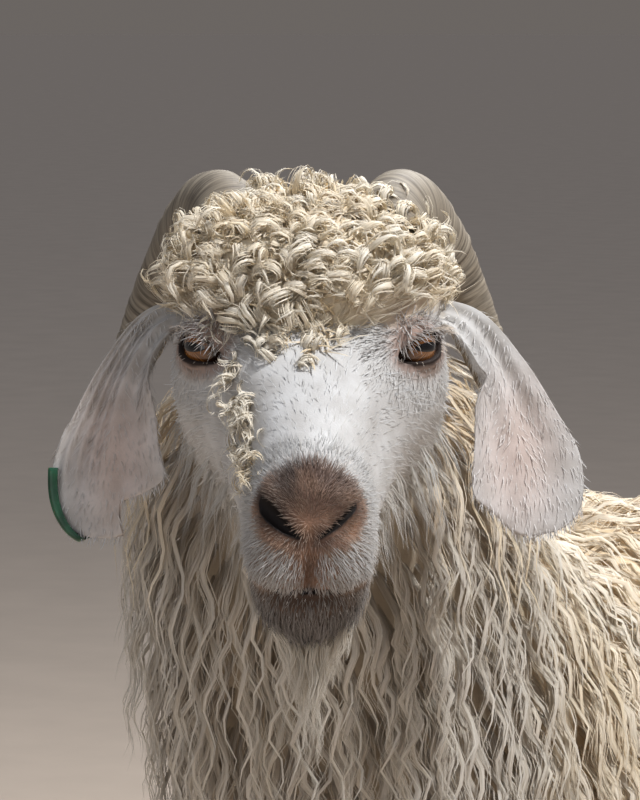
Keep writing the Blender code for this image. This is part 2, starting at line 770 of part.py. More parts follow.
FORE_TOP = 0.345
HIND_TOP = 0.405
KNEE = 0.205
HOCK = 0.245


LEGS = {
    "fore": (FORE_SECTIONS, FORE_LEG_X, FORE_LEG_Y, -0.290, -0.075, FORE_TOP, KNEE),
    "hind": (HIND_SECTIONS, HIND_LEG_X, HIND_LEG_Y, 0.125, 0.470, HIND_TOP, HOCK),
}


def foot(which, side_name, sign):
    """The short-haired lower leg with its dewclaws, and the two claws of the hoof."""
    sections, line_x, line_y, _, _, _, joint = LEGS[which]
    tube = leg_tube(sections, line_x, line_y, sign)
    label = f"{which}_{side_name}"
    share = np.linspace(0, 1, 20)
    heights = tube.frame(share)[0][:, 2]
    lower = [tube.mesh("lower", share[heights < joint + 0.04], 9)]
    for side in (-1, 1):
        place = tube.points([0.93], [side * 0.5])[0]
        lower.append(ball("dewclaw", place, 0.0065, 6, 4))
    planes = [((0, 0, joint - GAP), (0, 0, 1)), ((0, 0, HOOF_HEIGHT + GAP), (0, 0, -1))]
    node(f"lower_leg_{label}", lower, "short_coat", inside=[convex_block("below", planes)])
    coronet = tube.rows[-1]
    for outer, place in ((1, "outer"), (-1, "inner")):
        node(f"claw_{label}_{place}", [claw("claw", coronet[0], coronet[1], outer, sign)], "hoof")


def upper_leg_mesh(which, sign, grow):
    """The thigh or upper arm with its fleece, from inside the trunk to just past the joint."""
    sections, line_x, line_y, _, _, _, joint = LEGS[which]
    tube = leg_tube(sections, line_x, line_y, sign)
    share = np.linspace(0, 1, 26)
    heights = tube.frame(share)[0][:, 2]
    fuller = 1.0 if which == "fore" else HIND_FULLER
    return tube.mesh("upper", share[heights > joint - 0.03][::2], 10, grow * fuller)


LIMBS = [(which, sign) for which in LEGS for sign in (1, -1)]

# Rows of locks: round the trunk from the spine, along the neck, above the knee and hock, along the head
TRUNK_ROWS = (0.17, 0.64, 1.13, 1.64, 2.28)
TRUNK_LOCKS = 7
RUMP_ANGLES = (0.55, 1.15, 1.80)
CHEST_ANGLES = (2.30, 2.85, 3.43, 3.98)
NECK_ROWS = (0.24, 0.40, 0.58)
NECK_LOCKS = 8
LEG_ROWS = {"fore": (0.105, 0.050), "hind": (0.115, 0.050)}
LEG_LOCKS = 5
TOPKNOT_DOME = ((0.0, 0.030, 0.040), (0.060, 0.058, 0.034))
TOPKNOT_CURLS = 34
TOPKNOT_HEIGHT = 0.026
NOSE_CURLS = ((0.112, -0.75, 0.014), (0.130, -0.80, 0.013), (0.148, -0.85, 0.011))
# The beard: out from the middle, behind its front, length
BEARD_LOCKS = (
    (0.0, 0.0, 0.078),
    (0.010, 0.004, 0.056),
    (-0.010, 0.005, 0.060),
    (0.005, 0.014, 0.066),
    (-0.006, 0.016, 0.070),
)


def leg_space(which, sign, grow=0.0):
    """The upright block of space that one upper leg takes."""
    _, _, _, front, back, top, joint = LEGS[which]
    planes = [
        ((sign * 0.004, 0, 0), (-sign, 0, 0)),
        ((0, front, 0), (0, -1, 0)),
        ((0, back, 0), (0, 1, 0)),
        ((0, 0, top), (0, 0, 1)),
    ]
    if not grow:
        planes.append(((0, 0, joint), (0, 0, -1)))
    return convex_block("leg_space", planes, grow)


def ear_tag(name):
    """A folded strip of plastic clipped over the outer edge of the right ear."""
    half = EAR_THICKNESS / 2 * 1.3 + 0.0005
    fold = ((0.52, -half), (0.80, -half), (0.98, -half), (1.025, 0.0), (0.98, half), (0.90, half))
    rings = []
    for along in np.linspace(TAG_ALONG[0], TAG_ALONG[1], 5):
        outer = []
        for across, rise in fold[::-1]:
            thick = math.copysign(TAG_THICKNESS, rise) if rise else 0.0
            outer.append((across + 0.055 * (across > 0.95), rise + thick))
        ring = np.array(list(fold) + outer)
        rings.append(ear_points(-1, np.full(len(ring), along), ring[:, 0], ring[:, 1]))
    return closed_rings(name, rings)


def core_pieces():
    """The skin of the trunk, neck and thighs with the packed part of their fleece, as fresh meshes."""
    trunk, neck = trunk_tube(), neck_tube()
    pieces = [trunk.mesh("trunk", np.linspace(0, 1, 12), 13, BODY_COAT * CORE_SHARE, 0.035)]
    pieces.append(neck.mesh("neck", np.linspace(0, 1, 9), 12, NECK_COAT * CORE_SHARE, 0.02))
    pieces += [upper_leg_mesh(which, sign, LEG_COAT * CORE_SHARE) for which, sign in LIMBS]
    return pieces


def body_locks(ground, rng):
    """The fleece of the trunk: rows of overlapping locks that part on the spine and hang down each side."""
    trunk = trunk_tube()
    made = []
    for row, angle in enumerate(TRUNK_ROWS):
        for k in range(TRUNK_LOCKS):
            along = 0.02 + 0.96 * (k + 0.5 * (row % 2) + rng.uniform(0.1, 0.4)) / TRUNK_LOCKS
            for sign in (1, -1):
                slip = rng.uniform(-0.06, 0.06)
                root = trunk.points([min(along, 0.99)], [sign * (angle + slip)], BODY_COAT * CORE_SHARE)[0]
                lie = np.array([sign * 0.9, 0.35 + rng.uniform(-0.2, 0.2), -0.35])
                under = angle > 2.2
                length = rng.uniform(0.115, 0.15) * (0.62 if under else 1.0)
                lift = BODY_COAT * (1 - CORE_SHARE) * (0.4 if row == 0 else 1.0)
                path, backs = lock_path(ground, root, lie, length, lift, rng)
                made.append(lock(path, backs, rng.uniform(0.064, 0.080), rng.uniform(0.022, 0.030)))
    for angle in RUMP_ANGLES:
        for sign in (1, -1):
            root = trunk.points([1.0], [sign * angle], 0.0)[0] + np.array([0, 0.02, 0])
            lie = np.array([sign * 0.2, 0.4, -1.0])
            path, backs = lock_path(ground, root, lie, 0.12, BODY_COAT * (1 - CORE_SHARE), rng)
            made.append(lock(path, backs, 0.062, 0.024))
    return made


def neck_locks(ground, rng):
    """Longer wavy locks down the neck and the front of the chest."""
    neck = neck_tube()
    made = []
    for row, along in enumerate(NECK_ROWS):
        for k in range(NECK_LOCKS):
            angle = 2 * math.pi * (k + 0.5 * (row % 2) + rng.uniform(-0.15, 0.15)) / NECK_LOCKS
            root = neck.points([along], [angle], NECK_COAT * CORE_SHARE)[0]
            lie = np.array([0.4 * math.sin(angle), 0.1, -1.0]) + 0.001
            lift = NECK_COAT * (1 - CORE_SHARE) * min(1.0, 0.3 + along * 1.6)
            path, backs = lock_path(ground, root, lie, rng.uniform(0.11, 0.15), lift, rng, sway=0.3)
            made.append(lock(path, backs, rng.uniform(0.038, 0.050), rng.uniform(0.017, 0.024)))
    for angle in CHEST_ANGLES:
        root = neck.points([0.78], [angle], NECK_COAT * CORE_SHARE)[0]
        lie = np.array([0.3 * math.sin(angle), 0.0, -1.0])
        path, backs = lock_path(ground, root, lie, 0.14, NECK_COAT * (1 - CORE_SHARE), rng)
        made.append(lock(path, backs, 0.056, 0.024))
    return made


def tail_locks(rng):
    """The short upturned tail and the locks that fall off it."""
    tail = Tube(TAIL_SECTIONS)
    made = [tail.mesh("tail", np.linspace(0, 1, 7), 9, TAIL_COAT * CORE_SHARE, 0.012)]
    for k, along in enumerate((0.45, 0.60, 0.75, 0.90)):
        for sign in (1, -1):
            angle = sign * (0.5 + 0.5 * (k % 2))
            rows, across, dorsal = tail.frame([along])
            outward = unit(across[0] * math.sin(angle) + dorsal[0] * math.cos(angle))
            root = rows[0, :3] + outward * 0.008
            fall = np.array([sign * 0.40, 0.12, -0.85])
            shares = np.linspace(0, 1, 5)
            path = [root + outward * 0.030 * math.sin(2.2 * t) + fall * 0.075 * t for t in shares]
            made.append(lock(np.array(path), np.tile(outward, (5, 1)), 0.030, 0.015))
    return made


def leg_locks(ground, rng):
    """Short locks round the thighs and upper arms, down to the knee and hock."""
    made = []
    for which, sign in LIMBS:
        sections, line_x, line_y, _, _, _, joint = LEGS[which]
        tube = leg_tube(sections, line_x, line_y, sign)
        share = np.linspace(0, 1, 60)
        heights = tube.frame(share)[0][:, 2]
        for row, high in enumerate(LEG_ROWS[which]):
            along = share[np.argmin(np.abs(heights - joint - high))]
            for k in range(LEG_LOCKS):
                angle = 2 * math.pi * (k + 0.5 * (row % 2) + rng.uniform(-0.12, 0.12)) / LEG_LOCKS
                root = tube.points([along], [angle], LEG_COAT * CORE_SHARE)[0]
                lie = np.array([0.0, 0.15, -1.0])
                lift = LEG_COAT * (1 - CORE_SHARE)
                path, backs = lock_path(ground, root, lie, rng.uniform(0.075, 0.095), lift, rng, sink=0.014)
                made.append(lock(path, backs, rng.uniform(0.042, 0.052), rng.uniform(0.014, 0.019)))
    return made


def topknot_point(place, turn, grow=0.0):
    """A point of the packed part of the topknot, a low dome in the head's axes, and its outward direction."""
    sizes = np.array(TOPKNOT_DOME[1]) + grow
    way = np.array([math.sin(place) * math.sin(turn), math.sin(place) * math.cos(turn), math.cos(place)])
    point = np.array(TOPKNOT_DOME[0]) + way * sizes
    outward = unit(way / sizes)
    return from_head(*point), outward @ np.array([LEFTWARD, AHEAD, DORSAL])


def topknot_dome():
    """The packed part of the topknot as one closed dome."""
    turns = np.arange(12) / 12 * 2 * math.pi
    rings = [[topknot_point(place, turn)[0] for turn in turns] for place in np.linspace(0.3, 2.4, 6)]
    return closed_rings("topknot", rings)


def topknot(rng):
    """Curls heaped over the brow and poll, standing up between the horns and falling over the temples."""
    made = [topknot_dome()]
    for k in range(TOPKNOT_CURLS):
        place = math.acos(1 - 1.22 * (k + 0.5) / TOPKNOT_CURLS)
        turn = k * 2.39996 + rng.uniform(-0.15, 0.15)
        root, outward = topknot_point(place, turn)
        if math.cos(turn) * math.sin(place) < -0.45:
            continue
        fall = DORSAL * -0.8 + AHEAD * (math.cos(turn) * 0.8 + rng.uniform(-0.4, 0.4))
        fall = fall + LEFTWARD * (math.sin(turn) * 0.9 + rng.uniform(-0.5, 0.5))
        height = TOPKNOT_HEIGHT * rng.uniform(0.85, 1.1) * (0.75 + 0.25 * math.sin(2 * place))
        made.append(curl(root, outward, fall, height * 0.62, height * 1.05, rng.uniform(2.5, 3.1)))
    return made


def face_locks(rng):
    """The strip of wavy hair down the right side of the nose."""
    made = []
    for ahead, angle, size in NOSE_CURLS:
        root = head_points(np.array([ahead]), np.array([angle]))
        near = placed_head(root)[0]
        outward = unit(near - placed_head(np.array([[0.0, ahead, -0.01]]))[0])
        lie = AHEAD - LEFTWARD * 0.4 - UP * 0.5
        made.append(curl(near, outward, lie, size * 0.7, size, 2.7, sink=0.005))
    return made


def beard_locks(rng):
    """The locks of the beard, hanging from the chin to a thin point."""
    made = []
    for across, back, length in BEARD_LOCKS:
        top = from_head(across, 0.186 - back, -0.050)
        fall = -UP - FACING * 0.25 + LEFTWARD * (-across * 12 + rng.uniform(-0.08, 0.08))
        shares = np.linspace(0, 1, 6)
        path = np.array([top + unit(fall) * length * t + FACING * 0.006 * math.sin(6 * t) for t in shares])
        path[0] += UP * 0.008
        made.append(lock(path, np.tile(FACING + LEFTWARD * across * 20, (6, 1)), 0.017, 0.014))
    return made


def reaching(locks, body):
    """Copies of the locks that reach into the bounds of a mesh object."""
    corners = np.array([vert.co for vert in body.data.vertices])
    low, high = corners.min(axis=0), corners.max(axis=0)
    return [copy_of(each) for each in locks if boxes_meet(each, low, high)]


def build():
    """Every node of the goat."""
    rng = random.Random(SEED)
    ground = Ground(core_pieces())
    fleece = body_locks(ground, rng) + neck_locks(ground, rng) + leg_locks(ground, rng)
    head_space = [HEAD_BACK, HEAD_UNDER]
    beard_space = [BEARD_TOP, BEARD_FRONT, BEARD_BACK]
    neck_space = [NECK_BACK, NECK_UNDER]
    tail_space = [TAIL_FRONT, TAIL_UNDER]

    def coated(name, extra, inside, outside):
        spaces = [convex_block("space", planes) if isinstance(planes, list) else planes for planes in inside]
        near = reaching(fleece, spaces[0]) if spaces else [copy_of(each) for each in fleece]
        node(name, core_pieces() + extra + near, "fleece", spaces, outside, solver="MANIFOLD")

    cuts = [convex_block("neck_space", neck_space, GAP), convex_block("tail_space", tail_space, GAP)]
    cuts += [leg_space(*limb, GAP) for limb in LIMBS]
    coated("torso", [], [], cuts)
    for which, sign in LIMBS:
        side_name = "left" if sign > 0 else "right"
        coated(f"upper_leg_{which}_{side_name}", [], [leg_space(which, sign)], [])
        foot(which, side_name, sign)
    coated("tail", tail_locks(rng), [tail_space], [])
    horn_cuts = [horn(sign, "horn_space", GAP + 0.0007) for sign in (1, -1)]
    coated("neck", [], [neck_space], [convex_block("head_space", head_space, GAP)] + horn_cuts)

    head = [head_mesh("head")] + topknot(rng) + face_locks(rng)
    head += [neck_tube().mesh("neck", np.linspace(0, 1, 9), 12, NECK_COAT * CORE_SHARE, 0.02)]
    space = convex_block("head_space", head_space)
    head += reaching(fleece, space)
    cuts = [horn(sign, "horn_space", GAP + 0.0007) for sign in (1, -1)]
    cuts.append(convex_block("beard_space", beard_space, GAP))
    for sign in (1, -1):
        head.append(ball("lids", eye_centre(sign), EYE_RADIUS + LID_THICKNESS, 12, 8))
        cuts.append(eye_opening(sign))
        cuts.append(ball("socket", eye_centre(sign), EYE_RADIUS + GAP, 12, 8))
        cuts.append(nostril(sign))
    cuts.append(groove("mouth", mouth_path(), np.full(13, 0.0017)))
    for sign, side_name in ((1, "left"), (-1, "right")):
        made = node(f"ear_{side_name}", [ear(sign, "ear")], "short_coat")
        cuts.append(grown(made, 0.0004))
        node(f"horn_{side_name}", [horn(sign, "horn")], "horn")
        node(f"eye_{side_name}", [ball("eye", eye_centre(sign), EYE_RADIUS, 12, 8)], "eye")
    node("head", head, "short_coat", [space], cuts, solver="MANIFOLD")
    beard = [head_mesh("beard")] + beard_locks(rng)
    node("beard", beard, "short_coat", [convex_block("beard_space", beard_space)])
    node("ear_tag", [ear_tag("ear_tag")], "tag")
    remove(fleece)


main()
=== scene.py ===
"""Angora goat, the looks of the model: skin, mohair, horns, hooves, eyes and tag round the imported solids.

It is laid out as a Blender add-on and run as a script. Lengths are metres. Shapes are worked out in
the goat's own axes, where it faces -Y and its left side is +X, and are then moved onto the solids.
"""

import math

import bmesh
import bpy
import numpy as np
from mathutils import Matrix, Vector
from mathutils.bvhtree import BVHTree


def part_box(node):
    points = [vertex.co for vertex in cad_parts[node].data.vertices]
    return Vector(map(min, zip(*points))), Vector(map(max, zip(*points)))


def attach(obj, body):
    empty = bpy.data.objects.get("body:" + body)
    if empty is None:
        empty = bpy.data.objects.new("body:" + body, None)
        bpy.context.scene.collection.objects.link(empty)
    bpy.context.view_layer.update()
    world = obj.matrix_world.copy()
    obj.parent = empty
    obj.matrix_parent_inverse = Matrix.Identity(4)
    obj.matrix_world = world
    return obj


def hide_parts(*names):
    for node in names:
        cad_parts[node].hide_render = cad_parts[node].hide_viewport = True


bl_info = {
    "name": "Angora goat",
    "version": (1, 0, 0),
    "blender": (4, 5, 0),
    "location": "View3D > Sidebar > Goat",
    "description": "Skin, fleece, horns and stage for a still model of an angora goat",
    "category": "Object",
}

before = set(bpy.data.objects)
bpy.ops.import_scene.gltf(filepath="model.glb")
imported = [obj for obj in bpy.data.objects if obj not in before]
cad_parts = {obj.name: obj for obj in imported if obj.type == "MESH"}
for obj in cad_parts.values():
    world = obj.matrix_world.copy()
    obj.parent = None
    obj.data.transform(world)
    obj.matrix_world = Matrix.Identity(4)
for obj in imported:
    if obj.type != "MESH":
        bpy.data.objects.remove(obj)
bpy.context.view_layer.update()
BODY = "root"

# Sizes shared with the solids
WITHERS = 0.600
TRUNK_LENGTH = 0.700
TRUNK_FRONT = -0.300
BARREL_HALF = 0.135
FORE_LEG = (0.087, -0.182)
HIND_LEG = (0.090, 0.352)
HOOF_HEIGHT = 0.036
HOOF_LENGTH = 0.056
CLAW_WIDTH = 0.0215
BODY_COAT, NECK_COAT, LEG_COAT, TAIL_COAT = 0.050, 0.038, 0.030, 0.022
CORE_SHARE = 0.42
HEAD_TURN, HEAD_PITCH = math.radians(38), math.radians(19)
EYES_MIDDLE = np.array((0.095, -0.470, 0.755))
EYE_AHEAD, EYE_OUT, EYE_UP, EYE_RADIUS = 0.082, 0.047, 0.032, 0.0135
UP = np.array([0.0, 0.0, 1.0])
SIDE = np.array([1.0, 0.0, 0.0])
SQUARE = 2.15
TRUNK_SECTIONS = (
    (0.00, 0.830, 0.660, 0.30),
    (0.08, 0.930, 0.560, 0.62),
    (0.20, 1.000, 0.490, 0.84),
    (0.38, 0.985, 0.460, 0.95),
    (0.58, 0.975, 0.455, 1.00),
    (0.75, 0.985, 0.500, 0.97),
    (0.88, 0.970, 0.580, 0.82),
    (0.97, 0.910, 0.680, 0.52),
    (1.00, 0.860, 0.740, 0.25),
)
NECK_SECTIONS = (
    (0.066, -0.448, 0.760, 0.040, 0.038),
    (0.046, -0.412, 0.730, 0.048, 0.052),
    (0.022, -0.370, 0.680, 0.056, 0.066),
    (0.006, -0.328, 0.610, 0.064, 0.077),
    (0.000, -0.272, 0.535, 0.080, 0.096),
    (0.000, -0.150, 0.470, 0.090, 0.104),
)
FORE_SECTIONS = (
    (-0.012, 0.030, 0.420, 0.046, 0.072),
    (-0.002, 0.018, 0.345, 0.044, 0.058),
    (0.002, 0.008, 0.280, 0.034, 0.041),
    (0.001, 0.002, 0.225, 0.0260, 0.0300),
    (0.000, 0.000, 0.192, 0.0255, 0.0285),
    (0.000, 0.001, 0.165, 0.0190, 0.0220),
    (0.000, 0.001, 0.120, 0.0155, 0.0180),
    (0.000, 0.000, 0.078, 0.0200, 0.0230),
    (0.000, -0.009, 0.052, 0.0180, 0.0190),
    (0.000, -0.016, 0.034, 0.0225, 0.0245),
)
HIND_SECTIONS = (
    (-0.022, -0.110, 0.490, 0.052, 0.080),
    (-0.004, -0.100, 0.430, 0.060, 0.102),
    (0.004, -0.098, 0.360, 0.050, 0.088),
    (0.002, -0.060, 0.300, 0.037, 0.056),
    (0.000, -0.018, 0.252, 0.0250, 0.0340),
    (-0.002, 0.000, 0.222, 0.0240, 0.0320),
    (-0.003, -0.002, 0.190, 0.0180, 0.0240),
    (-0.003, -0.009, 0.140, 0.0160, 0.0195),
    (-0.003, -0.017, 0.080, 0.0205, 0.0235),
    (-0.003, -0.028, 0.054, 0.0180, 0.0195),
    (-0.003, -0.036, 0.034, 0.0230, 0.0250),
)
TAIL_SECTIONS = (
    (0.000, 0.350, 0.545, 0.022, 0.020),
    (0.000, 0.392, 0.562, 0.018, 0.016),
    (0.000, 0.430, 0.570, 0.013, 0.011),
    (0.000, 0.462, 0.560, 0.007, 0.006),
)
HEAD_SECTIONS = (
    (-0.040, 0.038, -0.052, 0.0440, 0.00),
    (-0.010, 0.050, -0.064, 0.0520, 0.05),
    (0.020, 0.056, -0.070, 0.0580, 0.10),
    (0.050, 0.057, -0.070, 0.0600, 0.15),
    (0.080, 0.053, -0.065, 0.0590, 0.22),
    (0.100, 0.047, -0.060, 0.0500, 0.20),
    (0.120, 0.041, -0.055, 0.0420, 0.15),
    (0.145, 0.035, -0.055, 0.0345, 0.10),
    (0.168, 0.030, -0.058, 0.0305, 0.03),
    (0.185, 0.026, -0.061, 0.0290, -0.02),
    (0.198, 0.021, -0.059, 0.0275, -0.05),
    (0.207, 0.014, -0.051, 0.0240, -0.05),
    (0.2135, 0.003, -0.038, 0.0160, 0.00),
)
NOSE_TIP = (0.0165, -0.013)
NOSE_CAP = 0.0028
HEAD_FORMS = (
    (0.055, 0.080, 0.046, 0.012, 0.018, 0.010, 0.0055),
    (0.056, 0.080, 0.030, 0.016, 0.020, 0.015, 0.0065),
    (0.050, 0.088, 0.004, 0.012, 0.020, 0.010, 0.0030),
    (0.055, 0.048, -0.030, 0.018, 0.030, 0.026, 0.0070),
    (0.060, 0.045, 0.022, 0.012, 0.016, 0.014, -0.0040),
    (0.038, 0.118, 0.012, 0.010, 0.018, 0.014, -0.0025),
    (0.021, 0.204, 0.012, 0.007, 0.010, 0.009, 0.0035),
    (0.014, 0.209, -0.017, 0.009, 0.010, 0.008, 0.0025),
    (0.000, 0.200, -0.043, 0.015, 0.010, 0.007, 0.0025),
)
# Finer forms that only the skin has: philtrum, upper lips, the planes beside the bridge, the nostrils'
# wings and rims, chin pad and cheek muscle
FINE_FORMS = (
    (0.000, 0.214, -0.018, 0.0014, 0.012, 0.0080, -0.0026),
    (0.012, 0.208, -0.020, 0.0075, 0.010, 0.0065, 0.0027),
    (0.034, 0.125, 0.016, 0.0080, 0.030, 0.0100, -0.0030),
    (0.027, 0.200, 0.0120, 0.0030, 0.007, 0.0050, 0.0016),
    (0.012, 0.213, -0.0060, 0.0045, 0.006, 0.0030, 0.0014),
    (0.000, 0.196, -0.056, 0.0100, 0.008, 0.0060, 0.0020),
    (0.034, 0.140, -0.018, 0.0080, 0.016, 0.0070, 0.0016),
)
MOUTH_UP = -0.0285
MOUTH_CORNER = 0.152
HORN_SECTIONS = (
    (0.034, 0.022, 0.034, 0.0225),
    (0.037, 0.040, 0.044, 0.0225),
    (0.040, 0.055, 0.062, 0.0215),
    (0.050, 0.058, 0.090, 0.0200),
    (0.064, 0.042, 0.116, 0.0175),
    (0.077, 0.016, 0.130, 0.0155),
    (0.088, -0.010, 0.134, 0.0130),
    (0.100, -0.038, 0.130, 0.0100),
    (0.112, -0.062, 0.118, 0.0065),
    (0.122, -0.078, 0.102, 0.0025),
)
EAR_SECTIONS = (
    (0.056, 0.013, 0.046, 0.021),
    (0.075, 0.006, 0.043, 0.023),
    (0.091, -0.017, 0.038, 0.032),
    (0.099, -0.042, 0.033, 0.047),
    (0.104, -0.064, 0.028, 0.059),
    (0.104, -0.083, 0.023, 0.051),
    (0.101, -0.094, 0.020, 0.029),
)
EAR_SHIFT = {1: 0.001, -1: -0.010}
EAR_THICKNESS = 0.0030
LID_SLANT = math.radians(-10)
TAG_ALONG = (0.74, 0.95)
TOPKNOT_DOME = ((0.0, 0.036, 0.036), (0.064, 0.058, 0.050))
TOPKNOT_SQUARE = 2.5
LID_WIDTH = 0.0105
LID_EASE = 0.0020
# The lid's rings, as sizes of the eye's opening
LID_PROFILE = (1.00, 1.03, 1.08, 1.16, 1.26, 1.38, 1.50, 1.64, 1.80, 2.0)
NOSTRIL_LINE = (
    (0.0052, 0.2150, -0.0022),
    (0.0110, 0.2125, 0.0010),
    (0.0180, 0.2080, 0.0062),
    (0.0256, 0.2010, 0.0112),
)
# The right nostril stands wider open than the left
NOSTRIL_RADII = {1: (0.0006, 0.0012, 0.0015, 0.0009), -1: (0.0009, 0.0026, 0.0040, 0.0034)}
# Half of a hoof seen from above: shares of the claw's width and of the hoof's length
CLAW_OUTLINE = (
    (-0.42, -0.36),
    (0.42, -0.36),
    (0.50, 0.10),
    (0.36, 0.44),
    (0.04, 0.62),
    (-0.36, 0.46),
    (-0.50, 0.05),
)
# Places along the body, and a side, where the plain fleece is made
FLEECE_ZONES = (("fore", -0.235, 0.10, -1), ("flank", -0.03, 0.10, 1), ("hind", 0.10, 0.60, 0))
SIDES = ((1, "left"), (-1, "right"))
LEGS = [(which, sign) for which in ("fore", "hind") for sign in (1, -1)]
# The height of the joint under which each leg has short hair
JOINT = {"fore": 0.205, "hind": 0.245}
LEG_NAMES = [f"{which}_{side}" for which in ("fore", "hind") for _, side in SIDES]
REPLACED = ["torso", "neck", "head", "beard", "tail", "ear_left", "ear_right"]
REPLACED += [f"{part}_leg_{leg}" for part in ("upper", "lower") for leg in LEG_NAMES]
CLAWS = [f"claw_{leg}_{place}" for leg in LEG_NAMES for place in ("outer", "inner")]
VOXEL = 0.0056
# How deep the roots of short hair stand in the skin
ROOT_DEPTH = 0.0006
# The side of one strand's patch in the unwrap, and the most triangles that one piece holds
PATCH = 0.003
MOST_TRIANGLES = 190000
FLOOR_RADIUS = 120.0
CAMERA_TURN, CAMERA_RISE = math.radians(38), math.radians(6)
LENS, SENSOR = 168.75, 36.0
# The size of one pixel at the face, and where the picture's middle lies from the eyes, in pixels
PIXEL = 0.00048
PICTURE_RIGHT, PICTURE_DOWN = 10, 53
SEED = 7
# Filled while the pieces are made: surfaces that hair stands on, and finishes that pieces share
GROUND = {}
MATERIALS = {}

FACING = np.array([math.sin(HEAD_TURN), -math.cos(HEAD_TURN), 0.0])
LEFTWARD = np.cross(UP, FACING)
AHEAD = FACING * math.cos(HEAD_PITCH) - UP * math.sin(HEAD_PITCH)
DORSAL = np.cross(AHEAD, LEFTWARD)
HEAD_AXES = np.array([LEFTWARD, AHEAD, DORSAL])
HEAD_ORIGIN = EYES_MIDDLE - AHEAD * EYE_AHEAD - DORSAL * EYE_UP
EYE_LEFT = HEAD_ORIGIN + LEFTWARD * EYE_OUT + AHEAD * EYE_AHEAD + DORSAL * EYE_UP
# From the goat's own axes to the solids' frame, read off the left eyeball
SHIFT = np.mean(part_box("eye_left"), axis=0) - EYE_LEFT


def linear(hex_colour):
    """An sRGB colour such as "E8DCC8" as linear red, green and blue."""
    parts = np.array([int(hex_colour[k : k + 2], 16) / 255 for k in (0, 2, 4)])
    return np.where(parts <= 0.04045, parts / 12.92, ((parts + 0.055) / 1.055) ** 2.4)


def unit(vectors):
    """Each vector scaled to length one."""
    vectors = np.asarray(vectors, float)
    return vectors / np.maximum(np.linalg.norm(vectors, axis=-1, keepdims=True), 1e-12)


def soft(values, low, high):
    """0 below low, 1 above high and a smooth rise between."""
    share = np.clip((np.asarray(values, float) - low) / (high - low), 0, 1)
    return share * share * (3 - 2 * share)


def full_turn(sides):
    """Angles once round, in equal steps."""
    return np.arange(sides) / sides * 2 * math.pi


def from_head(out, ahead, up):
    """Points given in the head's own axes, in the goat's."""
    local = np.stack(np.broadcast_arrays(out, ahead, up), axis=-1).astype(float)
    return HEAD_ORIGIN + local @ HEAD_AXES


def to_head(points):
    """Points of the goat in the head's own axes: out, ahead, up."""
    return (np.asarray(points) - HEAD_ORIGIN) @ HEAD_AXES.T


def head_parts(local):
    """How far out on either side, how far ahead and how far up points of the head lie."""
    return np.abs(local[:, 0]), local[:, 1], local[:, 2]


def from_eyes(out, above, behind):
    """Points given on the level from the middle of the eyes."""
    return (
        EYES_MIDDLE
        + np.multiply.outer(out, LEFTWARD)
        + np.multiply.outer(above, UP)
        - np.multiply.outer(behind, FACING)
    )


def smooth_rows(knots, rows, where):
    """Rows of sizes read between their knots along a smooth cubic, one row for each place."""
    knots, rows = np.asarray(knots, float), np.asarray(rows, float)
    where = np.clip(np.atleast_1d(np.asarray(where, float)), knots[0], knots[-1])
    slopes = np.gradient(rows, knots, axis=0)
    i = np.clip(np.searchsorted(knots, where, side="right") - 1, 0, len(knots) - 2)
    gap = (knots[i + 1] - knots[i])[:, None]
    t = (where - knots[i])[:, None] / gap
    return (
        (2 * t**3 - 3 * t**2 + 1) * rows[i]
        + (t**3 - 2 * t**2 + t) * gap * slopes[i]
        + (3 * t**2 - 2 * t**3) * rows[i + 1]
        + (t**3 - t**2) * gap * slopes[i + 1]
    )


def rounded(values, power):
    """A sine or cosine squared off towards a box as power rises above 2."""
    return np.sign(values) * np.abs(values) ** (2 / power)


class Tube:
    """An oval body or limb that follows a line of sections: x, y, z, half width, half depth."""

    def __init__(self, sections, side=SIDE, power=2.0, sag=0.0, bare=0.0):
        self.rows = np.asarray(sections, float)
        self.side, self.power, self.sag, self.bare = np.asarray(side, float), power, sag, bare
        steps = np.linalg.norm(np.diff(self.rows[:, :3], axis=0), axis=1)
        self.length = steps.sum()
        self.knots = np.concatenate([[0.0], np.cumsum(steps)]) / self.length

    def frame(self, where):
        """Sections and the across and dorsal directions at places from 0 to 1."""
        where = np.atleast_1d(np.asarray(where, float))
        rows = smooth_rows(self.knots, self.rows, where)
        ahead = smooth_rows(self.knots, self.rows, where + 0.01)
        behind = smooth_rows(self.knots, self.rows, where - 0.01)
        along = unit((ahead - behind)[:, :3])
        across = unit(self.side - along * (along @ self.side)[:, None])
        return rows, across, np.cross(across, along)

    def points(self, where, angle, grow=0.0):
        """Points of the surface. angle is 0 along the back and a quarter turn at the left side."""
        rows, across, dorsal = self.frame(where)
        angle = np.asarray(angle, float)
        c, s = rounded(np.cos(angle), self.power), rounded(np.sin(angle), self.power)
        if self.bare:
            grow = grow * soft(where, 0, self.bare)
        lower = self.sag * grow
        wide = (rows[:, 3] + grow) * s
        deep = (rows[:, 4] + grow) * c - lower * (c < 0) * np.abs(c) - 0.35 * lower * (c > 0) * c
        return rows[:, :3] + wide[:, None] * across + deep[:, None] * dorsal


def trunk_tube():
    """The trunk from the brisket to the pin bones."""
    sections = []
    for along, top, bottom, half in TRUNK_SECTIONS:
        middle, deep = (top + bottom) / 2 * WITHERS, (top - bottom) / 2 * WITHERS
        place = TRUNK_FRONT + along * TRUNK_LENGTH
        sections.append((0.0, place, middle, half * BARREL_HALF, deep))
    return Tube(sections, power=2.25, sag=0.45)


def neck_tube():
    """The neck from inside the head to inside the shoulders."""
    return Tube(NECK_SECTIONS, power=2.1, bare=0.45)


def leg_tube(which, sign):
    """A leg from the trunk down to the coronet."""
    sections, line = (FORE_SECTIONS, FORE_LEG) if which == "fore" else (HIND_SECTIONS, HIND_LEG)
    rows = [(sign * (line[0] + x), line[1] + y, z, w, d) for x, y, z, w, d in sections]
    return Tube(rows, power=2.2)


